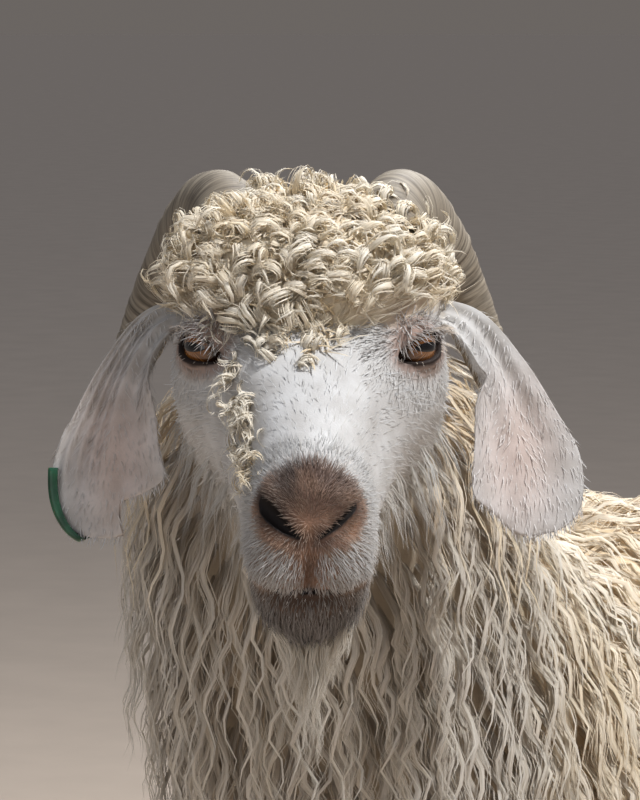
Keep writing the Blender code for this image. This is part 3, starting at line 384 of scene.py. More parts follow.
def swell(points, middle, forms):
    """Points of the head moved out or in by soft forms that are the same on both sides."""
    core = np.stack(np.broadcast_arrays(0.0, np.minimum(points[:, 1], 0.185), middle), axis=-1)
    outward = unit(points - core)
    total = np.zeros(len(points))
    for out, ahead, up, wide, long, tall, amount in forms:
        reach = np.stack([np.abs(points[:, 0]) - out, points[:, 1] - ahead, points[:, 2] - up], axis=-1)
        total += amount * np.exp(-((reach / (wide, long, tall)) ** 2).sum(axis=1) / 2)
    return points + outward * total[:, None]


def head_points(ahead, angle, inward=0.0):
    """Points of the head's skin in its axes. angle is 0 on top, and inward is 1 at the nose's tip."""
    knots = [row[0] for row in HEAD_SECTIONS]
    top, bottom, half, heavy = smooth_rows(knots, [row[1:] for row in HEAD_SECTIONS], ahead).T
    c, s = rounded(np.cos(angle), SQUARE), rounded(np.sin(angle), SQUARE)
    middle = (top + bottom) / 2
    points = np.stack(
        [half * s * (1 + heavy * c), np.asarray(ahead, float), middle + (top - bottom) / 2 * c],
        axis=-1,
    )
    tip = np.array((0.0, HEAD_SECTIONS[-1][0] + NOSE_CAP, NOSE_TIP[1]))
    capped = tip + (points - tip) * (1 - inward)
    capped[:, 1] = points[:, 1] + NOSE_CAP * (1 - (1 - inward) ** 2) * (inward > 0)
    return swell(capped, middle, HEAD_FORMS + FINE_FORMS)


def ear_points(sign, along, across, rise):
    """Points of an ear: across is -1 at its inner margin and 1 at its outer one, rise is off its middle."""
    rows = np.asarray(EAR_SECTIONS, float)
    out = rows[:, 0] + EAR_SHIFT[sign] * np.linspace(0, 1, len(rows))
    centres = from_eyes(out * sign, rows[:, 1], rows[:, 2])
    steps = np.linalg.norm(np.diff(centres, axis=0), axis=1)
    knots = np.concatenate([[0.0], np.cumsum(steps)]) / steps.sum()
    rows = np.column_stack([centres, rows[:, 3]])
    along, across = np.asarray(along, float), np.asarray(across, float)
    here = smooth_rows(knots, rows, along)
    ahead = smooth_rows(knots, rows, along + 0.02)
    behind = smooth_rows(knots, rows, along - 0.02)
    down = unit((ahead - behind)[:, :3])
    outward = unit(LEFTWARD * sign - FACING * 0.30)
    outward = unit(outward - down * (down @ outward)[:, None])
    front = np.cross(down, outward) * sign
    half = here[:, 3] / 2
    cup = 0.62 - 0.50 * np.clip(along * 1.25, 0, 1)
    bend = cup * across * 1.5
    radius = half / np.maximum(1.5 * cup, 0.05)
    sheet = here[:, :3] + outward * (radius * np.sin(bend))[:, None]
    sheet = sheet + front * (radius * (1 - np.cos(bend)))[:, None]
    facing_in = front * np.cos(bend)[:, None] - outward * np.sin(bend)[:, None]
    return sheet + facing_in * np.asarray(rise)[:, None]


def gaze(sign):
    """The direction that one eye looks along, and the long and short axes of its opening."""
    look = unit(LEFTWARD * 0.72 * sign + AHEAD * 0.62 + DORSAL * 0.28)
    long = -AHEAD * math.cos(LID_SLANT) + DORSAL * math.sin(LID_SLANT)
    long = unit(long - look * (long @ look))
    return look, long, np.cross(look, long) * sign


def eye_centre(sign):
    """The middle of one eyeball."""
    return from_head(EYE_OUT * sign, EYE_AHEAD, EYE_UP)


# Meshes


def grid_faces(rows, columns):
    """Quads of a grid of points whose columns close into rings."""
    row, column = np.meshgrid(np.arange(rows - 1) * columns, np.arange(columns), indexing="ij")
    after = (column + 1) % columns
    above = row + columns
    return np.stack([row + column, row + after, above + after, above + column], axis=-1).reshape(-1, 4)


def raw_mesh(name, points, faces):
    """A mesh of equal-sided faces, made at once from arrays."""
    mesh = bpy.data.meshes.new(name)
    points, faces = np.asarray(points, np.float32), np.asarray(faces, np.int32)
    count, corners = faces.shape
    mesh.vertices.add(len(points))
    mesh.vertices.foreach_set("co", points.ravel())
    mesh.loops.add(count * corners)
    mesh.loops.foreach_set("vertex_index", faces.ravel())
    mesh.polygons.add(count)
    mesh.polygons.foreach_set("loop_start", np.arange(count, dtype=np.int32) * corners)
    mesh.update(calc_edges=True)
    return mesh


def linked(name, mesh):
    """A mesh as an object in the scene."""
    made = bpy.data.objects.new(name, mesh)
    bpy.context.scene.collection.objects.link(made)
    return made


def finished(name, shape):
    """A bmesh as an object in the scene."""
    mesh = bpy.data.meshes.new(name)
    shape.to_mesh(mesh)
    shape.free()
    return linked(name, mesh)


def closed_grid(name, rings):
    """Rings of points as a closed object, each end drawn to its own middle."""
    rings = np.asarray(rings, float)
    rows, columns = rings.shape[:2]
    shape = bmesh.new()
    verts = [shape.verts.new(point) for point in rings.reshape(-1, 3)]
    for face in grid_faces(rows, columns):
        shape.faces.new([verts[k] for k in face])
    for ring in (0, rows - 1):
        peak = shape.verts.new(rings[ring].mean(axis=0))
        for k in range(columns):
            n = (k + 1) % columns
            shape.faces.new((verts[ring * columns + k], verts[ring * columns + n], peak))
    bmesh.ops.recalc_face_normals(shape, faces=shape.faces)
    if shape.calc_volume(signed=True) < 0:
        bmesh.ops.reverse_faces(shape, faces=shape.faces)
    return finished(name, shape)


def coordinates(mesh):
    """A mesh's points as an array."""
    points = np.empty(len(mesh.vertices) * 3, np.float32)
    mesh.vertices.foreach_get("co", points)
    return points.reshape(-1, 3).astype(float)


def move_points(mesh, points):
    """A mesh's points set from an array."""
    mesh.vertices.foreach_set("co", np.asarray(points, np.float32).ravel())
    mesh.update()


def remove(objects):
    """Helper objects taken out of the file."""
    for each in objects:
        bpy.data.objects.remove(each)


def combine(body, operation, others, solver="MANIFOLD"):
    """body joined with or cut by other closed objects, which are then removed."""
    group = bpy.data.collections.new("operands")
    for other in others:
        group.objects.link(other)
    modifier = body.modifiers.new("combine", "BOOLEAN")
    modifier.operation = operation
    modifier.operand_type = "COLLECTION"
    modifier.collection = group
    modifier.solver = solver
    apply_modifiers(body)
    remove(others)
    bpy.data.collections.remove(group)


def apply_modifiers(body):
    """An object's modifiers made part of its mesh."""
    evaluated = body.evaluated_get(bpy.context.evaluated_depsgraph_get())
    body.data = bpy.data.meshes.new_from_object(evaluated)
    body.modifiers.clear()


def smooth_shaded(mesh):
    """Every face of a mesh shaded smooth."""
    mesh.polygons.foreach_set("use_smooth", np.ones(len(mesh.polygons), bool))
    mesh.update()


def dress(piece, material, replaces=(), normals=None):
    """A finished piece: moved onto the solids, given its finish and tied to the body."""
    move_points(piece.data, coordinates(piece.data) + SHIFT)
    smooth_shaded(piece.data)
    if normals is not None:
        piece.data.normals_split_custom_set(normals.tolist())
    piece.data.materials.clear()
    piece.data.materials.append(material)
    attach(piece, BODY)
    if replaces:
        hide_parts(*replaces)
    return piece


def set_colours(mesh, name, colours):
    """A colour for each point of a mesh, as an attribute that materials read."""
    values = np.ones((len(colours), 4), np.float32)
    values[:, :3] = colours
    mesh.attributes.new(name, "FLOAT_COLOR", "POINT").data.foreach_set("color", values.ravel())


def set_vectors(mesh, name, vectors):
    """A vector for each point of a mesh, as an attribute that materials read."""
    data = mesh.attributes.new(name, "FLOAT_VECTOR", "POINT").data
    data.foreach_set("vector", np.asarray(vectors, np.float32).ravel())


# Materials


def add_node(tree, kind, sockets=None, stops=(), **settings):
    """A shader node with its settings, its inputs by name or number, and the stops of a colour ramp.

    An input that is given another node's output is linked to it, and any other value is set.
    """
    made = tree.nodes.new(kind)
    for name, value in {**settings, **(sockets or {})}.items():
        if isinstance(name, str) and hasattr(made, name):
            setattr(made, name, value)
        elif isinstance(value, bpy.types.NodeSocket):
            tree.links.new(value, made.inputs[name])
        elif made.inputs[name].type == "RGBA":
            made.inputs[name].default_value = (*value, 1.0)
        else:
            made.inputs[name].default_value = value
    for k, (place, colour) in enumerate(stops):
        elements = made.color_ramp.elements
        element = elements[k] if k < 2 else elements.new(place)
        element.position = place
        element.color = (*colour, 1.0)
    return made


def new_material(name, roughness, **constants):
    """A material, its tree and its Principled shader with constants set on the shader's own sockets."""
    material = bpy.data.materials.new(name)
    material.use_nodes = True
    shader = material.node_tree.nodes["Principled BSDF"]
    shader.inputs["Roughness"].default_value = roughness
    for socket, value in constants.items():
        shader.inputs[socket.replace("_", " ")].default_value = value
    return material, material.node_tree, shader


# Settings of a Mix node that multiplies two colours
MULTIPLIED = {"data_type": "RGBA", "blend_type": "MULTIPLY"}


def mohair_material(name, streaks, roughness, through=0.30):
    """Mohair: long, smooth, lustrous fibres that lie side by side.

    The flat scales of the fibre give it a silky gloss, and light passes on through the thin locks. One
    fibre is 0.03 mm and can't show, so streaks about 0.4 mm wide stand for small groups of fibres.
    """
    material, tree, shader = new_material(name, roughness, Specular_IOR_Level=0.35, Sheen_Weight=0.12)
    tone = add_node(tree, "ShaderNodeAttribute", attribute_name="tone").outputs["Color"]
    fibre = add_node(tree, "ShaderNodeAttribute", attribute_name="fibre").outputs["Vector"]
    stretch = add_node(
        tree, "ShaderNodeVectorMath", {0: fibre, 1: (streaks, 16.0, 1.0)}, operation="MULTIPLY"
    ).outputs["Vector"]
    groups = add_node(tree, "ShaderNodeTexNoise", Vector=stretch, Scale=1.0, Detail=2.0).outputs["Fac"]
    shades = [(0.34, (0.80, 0.77, 0.72)), (0.56, (1.0, 1.0, 1.0))]
    light = add_node(tree, "ShaderNodeValToRGB", Fac=groups, stops=shades).outputs["Color"]
    colour = add_node(tree, "ShaderNodeMix", {0: 1.0, 6: tone, 7: light}, **MULTIPLIED).outputs[2]
    tree.links.new(colour, shader.inputs["Base Color"])
    relief = add_node(tree, "ShaderNodeBump", Height=groups, Distance=0.0003, Strength=0.4)
    tree.links.new(relief.outputs["Normal"], shader.inputs["Normal"])
    glow = add_node(tree, "ShaderNodeBsdfTranslucent", Color=colour).outputs["BSDF"]
    blend = add_node(tree, "ShaderNodeMixShader", {0: through, 1: shader.outputs["BSDF"], 2: glow})
    tree.links.new(blend.outputs["Shader"], tree.nodes["Material Output"].inputs["Surface"])
    return material


def hide_material():
    """Goat hide under its coat: matt, close-haired skin that is bare and pebbled on the nose and lips.

    Hair 0.3 mm apart lies flat over the hide and breaks its gloss. The bare leather of the nose has
    grains about 1.1 mm across with fine creases between, and is a little moist, so it shines more.
    """
    material, tree, shader = new_material("goat_hide", 0.62, Specular_IOR_Level=0.3)
    hide = add_node(tree, "ShaderNodeAttribute", attribute_name="hide").outputs["Color"]
    leather = add_node(tree, "ShaderNodeAttribute", attribute_name="leather").outputs["Fac"]
    place = add_node(tree, "ShaderNodeTexCoord").outputs["Object"]
    hair = add_node(tree, "ShaderNodeTexNoise", Vector=place, Scale=900.0, Detail=3.0).outputs["Fac"]
    mottle = add_node(tree, "ShaderNodeTexNoise", Vector=place, Scale=70.0, Detail=4.0).outputs["Fac"]
    grain = add_node(tree, "ShaderNodeTexVoronoi", Vector=place, Scale=900.0).outputs["Distance"]
    shades = [(0.30, (0.80, 0.77, 0.74)), (0.70, (1.08, 1.07, 1.06))]
    light = add_node(tree, "ShaderNodeValToRGB", Fac=mottle, stops=shades).outputs["Color"]
    colour = add_node(tree, "ShaderNodeMix", {0: 1.0, 6: hide, 7: light}, **MULTIPLIED).outputs[2]
    # Painted light and shade on the leather: grain tops a little lighter and the creases between them darker
    creases = [(0.1, (1.04, 1.03, 1.02)), (0.75, (0.74, 0.70, 0.68))]
    painted_crease_shade = add_node(tree, "ShaderNodeValToRGB", Fac=grain, stops=creases).outputs["Color"]
    bare = add_node(tree, "ShaderNodeMix", {0: 1.0, 6: colour, 7: painted_crease_shade}, **MULTIPLIED).outputs[2]
    shown = add_node(tree, "ShaderNodeMix", {0: leather, 6: colour, 7: bare}, data_type="RGBA")
    tree.links.new(shown.outputs[2], shader.inputs["Base Color"])
    moist = [(0.0, (0.70, 0.70, 0.70)), (1.0, (0.58, 0.58, 0.58))]
    wet = add_node(tree, "ShaderNodeValToRGB", Fac=leather, stops=moist)
    tree.links.new(wet.outputs["Color"], shader.inputs["Roughness"])
    turned = add_node(tree, "ShaderNodeMath", {0: grain, 1: -1.0}, operation="MULTIPLY").outputs["Value"]
    height = add_node(tree, "ShaderNodeMix", {0: leather, 2: hair, 3: turned}).outputs[0]
    relief = add_node(tree, "ShaderNodeBump", Height=height, Distance=0.0004, Strength=0.3)
    tree.links.new(relief.outputs["Normal"], shader.inputs["Normal"])
    return material


def horn_material():
    """Horn: keratin laid down in yearly and finer rings, polished by rubbing.

    The growth lines are 1 to 3 mm apart and darker between; the tip is smooth.
    """
    material, tree, shader = new_material("horn_keratin", 0.62, IOR=1.55, Specular_IOR_Level=0.3)
    growth = add_node(tree, "ShaderNodeAttribute", attribute_name="growth").outputs["Vector"]
    place = add_node(tree, "ShaderNodeTexCoord").outputs["Object"]
    stretch = add_node(
        tree, "ShaderNodeVectorMath", {0: growth, 1: (520.0, 0.9, 1.0)}, operation="MULTIPLY"
    ).outputs["Vector"]
    lines = add_node(tree, "ShaderNodeTexNoise", Vector=stretch, Scale=1.0, Detail=3.0).outputs["Fac"]
    patches = add_node(tree, "ShaderNodeTexNoise", Vector=place, Scale=45.0, Detail=5.0).outputs["Fac"]
    tones = [(0.30, linear("5A534A")), (0.48, linear("867E72")), (0.70, linear("A39B8D"))]
    band = add_node(tree, "ShaderNodeValToRGB", Fac=lines, stops=tones).outputs["Color"]
    shades = [(0.30, (0.72, 0.68, 0.63)), (0.70, (1.05, 1.03, 1.0))]
    shade = add_node(tree, "ShaderNodeValToRGB", Fac=patches, stops=shades).outputs["Color"]
    colour = add_node(tree, "ShaderNodeMix", {0: 1.0, 6: band, 7: shade}, **MULTIPLIED)
    tree.links.new(colour.outputs[2], shader.inputs["Base Color"])
    relief = add_node(tree, "ShaderNodeBump", Height=lines, Distance=0.0006, Strength=0.7)
    tree.links.new(relief.outputs["Normal"], shader.inputs["Normal"])
    return material


def hoof_material():
    """Hoof horn: dark keratin with fine fibres from the coronet down, scuffed dull and dusty below."""
    material, tree, shader = new_material("hoof_keratin", 0.55, IOR=1.55)
    place = add_node(tree, "ShaderNodeTexCoord").outputs["Object"]
    stretch = add_node(
        tree, "ShaderNodeVectorMath", {0: place, 1: (900.0, 900.0, 90.0)}, operation="MULTIPLY"
    ).outputs["Vector"]
    fibres = add_node(tree, "ShaderNodeTexNoise", Vector=stretch, Scale=1.0, Detail=3.0).outputs["Fac"]
    dust = add_node(tree, "ShaderNodeTexNoise", Vector=place, Scale=60.0, Detail=5.0).outputs["Fac"]
    tones = [(0.32, linear("2E2822")), (0.68, linear("5F554A"))]
    base = add_node(tree, "ShaderNodeValToRGB", Fac=fibres, stops=tones).outputs["Color"]
    shares = [(0.42, (0.0, 0.0, 0.0)), (0.72, (0.55, 0.55, 0.55))]
    worn = add_node(tree, "ShaderNodeValToRGB", Fac=dust, stops=shares).outputs["Color"]
    colour = add_node(tree, "ShaderNodeMix", {0: worn, 6: base, 7: linear("A3968A")}, data_type="RGBA")
    tree.links.new(colour.outputs[2], shader.inputs["Base Color"])
    relief = add_node(tree, "ShaderNodeBump", Height=fibres, Distance=0.0004, Strength=0.6)
    tree.links.new(relief.outputs["Normal"], shader.inputs["Normal"])
    return material


def eye_material():
    """A goat's eye: a wet cornea over an amber iris with a level, slot-shaped pupil.

    The iris has radial fibres, lighter round the pupil and dark at its rim, and the tear film gives
    the sharp highlight.
    """
    material, tree, shader = new_material("goat_eye", 0.22, IOR=1.38, Coat_Weight=1.0, Coat_Roughness=0.02)
    local = add_node(tree, "ShaderNodeAttribute", attribute_name="iris").outputs["Vector"]
    parts = add_node(tree, "ShaderNodeSeparateXYZ", Vector=local).outputs
    flat = add_node(tree, "ShaderNodeCombineXYZ", X=parts["X"], Y=parts["Y"]).outputs["Vector"]
    radius = add_node(tree, "ShaderNodeVectorMath", {0: flat}, operation="LENGTH").outputs["Value"]
    squeezed = add_node(
        tree, "ShaderNodeVectorMath", {0: flat, 1: (1.0, 3.3, 0.0)}, operation="MULTIPLY"
    ).outputs["Vector"]
    slot = add_node(tree, "ShaderNodeVectorMath", {0: squeezed}, operation="LENGTH").outputs["Value"]
    turn = add_node(tree, "ShaderNodeVectorMath", {0: flat}, operation="NORMALIZE").outputs["Vector"]
    fibres = add_node(tree, "ShaderNodeTexNoise", Vector=turn, Scale=9.0, Detail=4.0).outputs["Fac"]
    ambers = [(0.30, linear("4A2E14")), (0.50, linear("7E5229")), (0.72, linear("A87843"))]
    iris = add_node(tree, "ShaderNodeValToRGB", Fac=fibres, stops=ambers).outputs["Color"]
    rims = [(0.30, (1.15, 1.05, 0.9)), (0.62, (0.8, 0.72, 0.62)), (0.80, (0.10, 0.08, 0.07))]
    around = add_node(tree, "ShaderNodeValToRGB", Fac=radius, stops=rims).outputs["Color"]
    colour = add_node(tree, "ShaderNodeMix", {0: 1.0, 6: iris, 7: around}, **MULTIPLIED).outputs[2]
    edge = [(0.54, (1.0, 1.0, 1.0)), (0.60, (0.0, 0.0, 0.0))]
    pupil = add_node(tree, "ShaderNodeValToRGB", Fac=slot, stops=edge).outputs["Color"]
    black = (0.004, 0.004, 0.006)
    shown = add_node(tree, "ShaderNodeMix", {0: pupil, 6: colour, 7: black}, data_type="RGBA")
    tree.links.new(shown.outputs[2], shader.inputs["Base Color"])
    return material


def tag_material():
    """Livestock tag: moulded polyurethane, smooth and slightly waxy, scratched and dirty in wear."""
    material, tree, shader = new_material("polyurethane_tag", 0.38, Subsurface_Weight=0.05)
    place = add_node(tree, "ShaderNodeTexCoord").outputs["Object"]
    dirt = add_node(tree, "ShaderNodeTexNoise", Vector=place, Scale=130.0, Detail=5.0).outputs["Fac"]
    greens = [(0.36, linear("15402B")), (0.62, linear("225E41"))]
    colour = add_node(tree, "ShaderNodeValToRGB", Fac=dirt, stops=greens)
    tree.links.new(colour.outputs["Color"], shader.inputs["Base Color"])
    relief = add_node(tree, "ShaderNodeBump", Height=dirt, Distance=0.0002, Strength=0.3)
    tree.links.new(relief.outputs["Normal"], shader.inputs["Normal"])
    return material


def floor_material():
    """Studio floor: pale matt painted plaster, with a faint unevenness a hand's breadth across."""
    material, tree, shader = new_material("painted_plaster", 0.9, Specular_IOR_Level=0.2)
    place = add_node(tree, "ShaderNodeTexCoord").outputs["Object"]
    patches = add_node(tree, "ShaderNodeTexNoise", Vector=place, Scale=9.0, Detail=3.0).outputs["Fac"]
    base = chosen(bpy.context.scene.goat_stage.floor)
    shades = [(0.2, base * 0.94), (0.8, base * 1.04)]
    colour = add_node(tree, "ShaderNodeValToRGB", Fac=patches, stops=shades)
    tree.links.new(colour.outputs["Color"], shader.inputs["Base Color"])
    return material


# Coat


class Surface:
    """A surface that locks are walked over, which answers where it is nearest and which way it faces."""

    def __init__(self, body):
        shape = bmesh.new()
        shape.from_mesh(body.data)
        self.tree = BVHTree.FromBMesh(shape)
        shape.free()
        mesh = body.data
        mesh.calc_loop_triangles()
        corners = np.empty(len(mesh.loop_triangles) * 3, np.int32)
        mesh.loop_triangles.foreach_get("vertices", corners)
        self.corners = coordinates(mesh)[corners.reshape(-1, 3)]
        cross = np.cross(self.corners[:, 1] - self.corners[:, 0], self.corners[:, 2] - self.corners[:, 0])
        self.areas = np.linalg.norm(cross, axis=1) / 2
        self.normals = unit(cross)

    def scatter(self, keep, spacing, rng):
        """Roots about spacing apart where keep says so, and the surface's direction at each."""
        share = np.clip(keep(self.corners.mean(axis=1), self.normals), 0, 1)
        weights = self.areas * share
        count = int(5 * weights.sum() / spacing**2)
        picked = rng.choice(len(weights), count, p=weights / weights.sum())
        a, b = rng.random(count), rng.random(count)
        turned = a + b > 1
        a, b = np.where(turned, 1 - a, a), np.where(turned, 1 - b, b)
        first, second, third = self.corners[picked].transpose(1, 0, 2)
        roots = first + (second - first) * a[:, None] + (third - first) * b[:, None]
        cells = np.floor((roots + rng.random(3) * spacing) / spacing).astype(np.int64)
        _, first = np.unique(cells, axis=0, return_index=True)
        first = rng.permutation(first)
        return roots[first], self.normals[picked][first]

    def nearest(self, place):
        """The nearest point of the surface, its outward direction, and the height over it."""
        near, normal, _, _ = self.tree.find_nearest(Vector(place))
        near, normal = np.array(near), np.array(normal)
        return near, normal, (place - near) @ normal

    def walk(self, root, lie, length, lift, rng, steps=7, sink=0.006, sway=0.10, hang=0.75):
        """A path over the surface: out of the root, along the lie, and then down by its own weight."""
        near, outward, _ = self.nearest(root)
        lie = unit(lie - outward * (lie @ outward))
        path, backs = [near - outward * sink - lie * 0.3 * sink], [outward]
        place, heading = near, unit(lie + outward * 0.7)
        side = np.cross(outward, lie)
        turn = rng.uniform(0, 2 * math.pi)
        for step in range(1, steps + 1):
            bend = sway * math.sin(turn + 1.2 * step)
            place = place + unit(heading + side * bend) * length / steps
            near, outward, height = self.nearest(place)
            wanted = lift * math.sin(math.pi * (0.22 + 0.62 * step / steps))
            if height < wanted:
                place = near + outward * wanted
            close = max(0.0, 1 - max(height - wanted, 0.0) / 0.03)
            fall = lie * 0.35 - UP
            if fall @ outward < 0:
                fall = fall - outward * (fall @ outward) * close
            heading = unit(heading * 0.6 + unit(fall) * hang * 0.6)
            path.append(place)
            backs.append(outward)
        return np.array(path), np.array(backs)


def along_paths(paths, where):
    """Points of many paths (path, knot, xyz) at shares of their length (path, strand, step)."""
    knots = paths.shape[1]
    place = np.clip(where, 0, 1) * (knots - 1)
    i = np.clip(np.floor(place).astype(int), 0, knots - 2)
    t = (place - i)[..., None]
    pick = np.arange(len(paths))[:, None, None]
    before = paths[pick, np.maximum(i - 1, 0)]
    first, second = paths[pick, i], paths[pick, i + 1]
    after = paths[pick, np.minimum(i + 2, knots - 1)]
    return 0.5 * (
        2 * first
        + (second - before) * t
        + (2 * before - 5 * first + 4 * second - after) * t**2
        + (3 * first - before - 3 * second + after) * t**3
    )


def lock_strands(
    paths, backs, rng, fine, wide, hair, steps,
    wave=0.0, wavelength=0.028, ringlet=0.5, ragged=0.3, core=0.55,
):
    """The strands of many locks: a broad one down the middle of each and fine ones that wave with it."""
    locks, count = len(paths), fine + 1
    share = np.linspace(0, 1, steps)
    middle_one = (np.arange(count) == 0)[None, :, None]
    reach = 1 - ragged * rng.random((locks, count, 1)) ** 1.6 * np.where(middle_one, 0.3, 1.0)
    where = share[None, None, :] * reach
    middle = along_paths(paths, where)
    over = unit(along_paths(backs, where))
    along = unit(np.gradient(middle, axis=2))
    across = unit(np.cross(along, over))
    over = np.cross(across, along)
    lengths = np.linalg.norm(np.diff(paths, axis=1), axis=2).sum(axis=1)
    wide = np.broadcast_to(np.asarray(wide, float), (locks,))[:, None, None]
    turn = 2 * math.pi * rng.random((locks, count, 1))
    out = np.where(middle_one, 0.0, 0.45 + 0.55 * rng.random((locks, count, 1)))
    spread = (0.45 + 0.65 * np.sin(math.pi * np.minimum(where * 1.1, 1)) - 0.45 * where**2) * wide / 2
    stray = 0.25 * rng.standard_normal((locks, count, 1)) * where
    phase = 2 * math.pi * rng.random((locks, 1, 1)) + 0.35 * rng.standard_normal((locks, count, 1))
    size = wave * (0.75 + 0.5 * rng.random((locks, 1, 1))) * soft(where, 0.05, 0.35)
    waves = lengths[:, None, None] / (wavelength * rng.uniform(0.8, 1.4, (locks, 1, 1)))
    beat = phase + 2 * math.pi * where * waves
    sideways = spread * (out * np.cos(turn) + stray) + size * np.sin(beat)
    outward = spread * (0.5 * out * np.sin(turn) + 0.25) + size * ringlet * (np.cos(beat) + 0.5)
    points = middle + across * sideways[..., None] + over * outward[..., None]
    taper = (0.6 + 0.4 * np.sin(math.pi * np.minimum(share * 1.4 + 0.1, 1))) * (1 - 0.85 * share**2.4)
    thick = np.where(middle_one, wide * core, hair * (0.8 + 0.4 * rng.random((locks, count, 1)))) * taper
    flat = (locks * count, steps)
    return {
        "points": points.reshape(*flat, 3),
        "backs": over.reshape(*flat, 3),
        "widths": np.broadcast_to(thick, (locks, count, steps)).reshape(flat),
        "lock": np.repeat(np.arange(locks), count),
    }


def strand_pieces(name, strands, tones, *rest, **options):
    """Strands as one piece, or as several where one would hold too many triangles."""
    count, steps = strands["widths"].shape
    parts = math.ceil(count * (6 * (steps - 2) + 4) / MOST_TRIANGLES)
    for k, chosen in enumerate(np.array_split(np.arange(count), parts)):
        some = {key: value[chosen] for key, value in strands.items()}
        label = name if parts == 1 else f"{name}_{k + 1}"
        strand_piece(label, some, (tones[0][chosen], tones[1][chosen]), *rest, **options)


def strand_piece(name, strands, tones, unwrap, material, slot, flat=0.28, lean=0.75, replaces=()):
    """Strands as one joined mesh: three-sided, tapered and closed, each with its tone and unwrap patch."""
    points, backs, widths = strands["points"], strands["backs"], strands["widths"]
    count, steps = widths.shape
    along = unit(np.gradient(points, axis=1))
    across = unit(np.cross(along, backs))
    over = np.cross(across, along)
    half = (widths / 2)[..., None]
    low = points - over * half * flat * 0.7
    ring = np.stack([low - across * half, low + across * half, points + over * half * flat * 1.3], axis=2)
    body = ring[:, :-1].reshape(count, -1, 3)
    verts = np.concatenate([body, points[:, -1:]], axis=1)
    each = verts.shape[1]
    faces = [(0, 1, 2)]
    for k in range(steps - 2):
        for a in range(3):
            b = (a + 1) % 3
            p, q = k * 3 + a, k * 3 + b
            faces += [(p, p + 3, q), (q, p + 3, q + 3)]
    last = (steps - 2) * 3
    faces += [(last + a, each - 1, last + (a + 1) % 3) for a in range(3)]
    # The first face of each pair closes the underside, from the left edge to the right one
    pairs = [True, True, False, False, False, False]
    under = np.array([False, *(pairs * (steps - 2)), True, False, False])
    faces = np.array(faces)
    all_faces = (faces[None] + np.arange(count)[:, None, None] * each).reshape(-1, 3)
    mesh = raw_mesh(name, verts.reshape(-1, 3), all_faces)
    step_of = np.append(np.repeat(np.arange(steps - 1), 3), steps - 1)
    share = step_of / (steps - 1)
    edge = np.append(np.tile([-1.0, 1.0, 0.0], steps - 1), 0.0)
    reach = np.linalg.norm(np.diff(points, axis=1), axis=2).sum(axis=1)
    fibre = np.stack(
        np.broadcast_arrays(
            edge[None] * widths.mean(axis=1)[:, None] * 1000,
            share[None] * reach[:, None],
            (np.arange(count) * 7.31 % 97)[:, None],
        ),
        axis=-1,
    )
    set_vectors(mesh, "fibre", fibre.reshape(-1, 3))
    root, tip = tones
    mix = (share**0.8)[None, :, None]
    set_colours(mesh, "tone", (root[:, None] * (1 - mix) + tip[:, None] * mix).reshape(-1, 3))
    patch = unwrap(points[:, 0])[:, None] + np.stack([edge, share * 2 - 1], axis=-1)[None] * PATCH / 2
    corners = patch.reshape(-1, 2)[all_faces.ravel()]
    mesh.uv_layers.new(name="OFBake").data.foreach_set("uv", corners.astype(np.float32).ravel())
    piece = linked(name, mesh)
    lateral = across[:, step_of] * (edge * lean)[None, :, None]
    above, below = unit(over[:, step_of] + lateral), unit(lateral - over[:, step_of])
    facing = np.where(under[None, :, None, None], below[:, faces], above[:, faces])
    return dress(piece, material, replaces, facing.reshape(-1, 3))


def unwrap_box(values, column, row):
    """Shares from 0 to 1 put in one cell of a four by three layout."""
    inset = 0.02 + 0.96 * np.clip(values, 0, 1)
    return (inset + (column, row)) / (4, 3)


def unwrap_tube(tube, column, row):
    """An unwrap by the place along a tube and the turn round it."""

    def apply(points):
        line, across, dorsal = tube.frame(np.linspace(0, 1, 60))
        apart = np.linalg.norm(points[:, None] - line[None, :, :3], axis=2)
        near = apart.argmin(axis=1)
        off = points - line[near, :3]
        turn = np.arctan2((off * across[near]).sum(axis=1), (off * dorsal[near]).sum(axis=1))
        return unwrap_box(np.stack([near / 59, turn / (2 * math.pi) + 0.5], axis=1), column, row)

    return apply


def unwrap_head(points):
    """An unwrap of the head by its length and the turn round it."""
    local = to_head(points)
    turn = np.arctan2(local[:, 0], local[:, 2]) / (2 * math.pi) + 0.5
    return unwrap_box(np.stack([(local[:, 1] + 0.06) / 0.30, turn], axis=1), 2, 0)


def unwrap_ear(sign):
    """An unwrap of one ear by its height and width, its two faces apart."""

    def apply(points):
        centre = from_eyes(0.09 * sign, -0.04, 0.035)
        off = points - centre
        tall = (off @ UP) / 0.16 + 0.5
        wide = (off @ LEFTWARD) * sign / 0.12 + 0.5
        rear = ((off @ FACING) < 0) * 0.5
        return unwrap_box(np.stack([wide * 0.5 + rear, tall], axis=1), 3 if sign > 0 else 2, 1)

    return apply


# Colours of the coat by place


def cloud(points, size, seed):
    """A smooth value between -1 and 1 that changes over about size metres."""
    rng = np.random.default_rng(seed)
    total = np.zeros(len(points))
    for _ in range(7):
        way = unit(rng.standard_normal(3)) / size * rng.uniform(0.7, 1.6) * math.pi
        total += np.sin(points @ way + rng.uniform(0, 2 * math.pi))
    return np.clip(total / 3.2, -1, 1)


def blended(first, second, share):
    """Colours moved from the first to the second by a share, or by one for each row."""
    share = np.reshape(np.clip(share, 0, 1), (-1, 1))
    return np.asarray(first) * (1 - share) + np.asarray(second) * share


def tinted(colour, count, low, high, rng):
    """One colour as rows that differ a little in brightness."""
    return np.repeat(colour[None], count, axis=0) * rng.uniform(low, high, (count, 1))


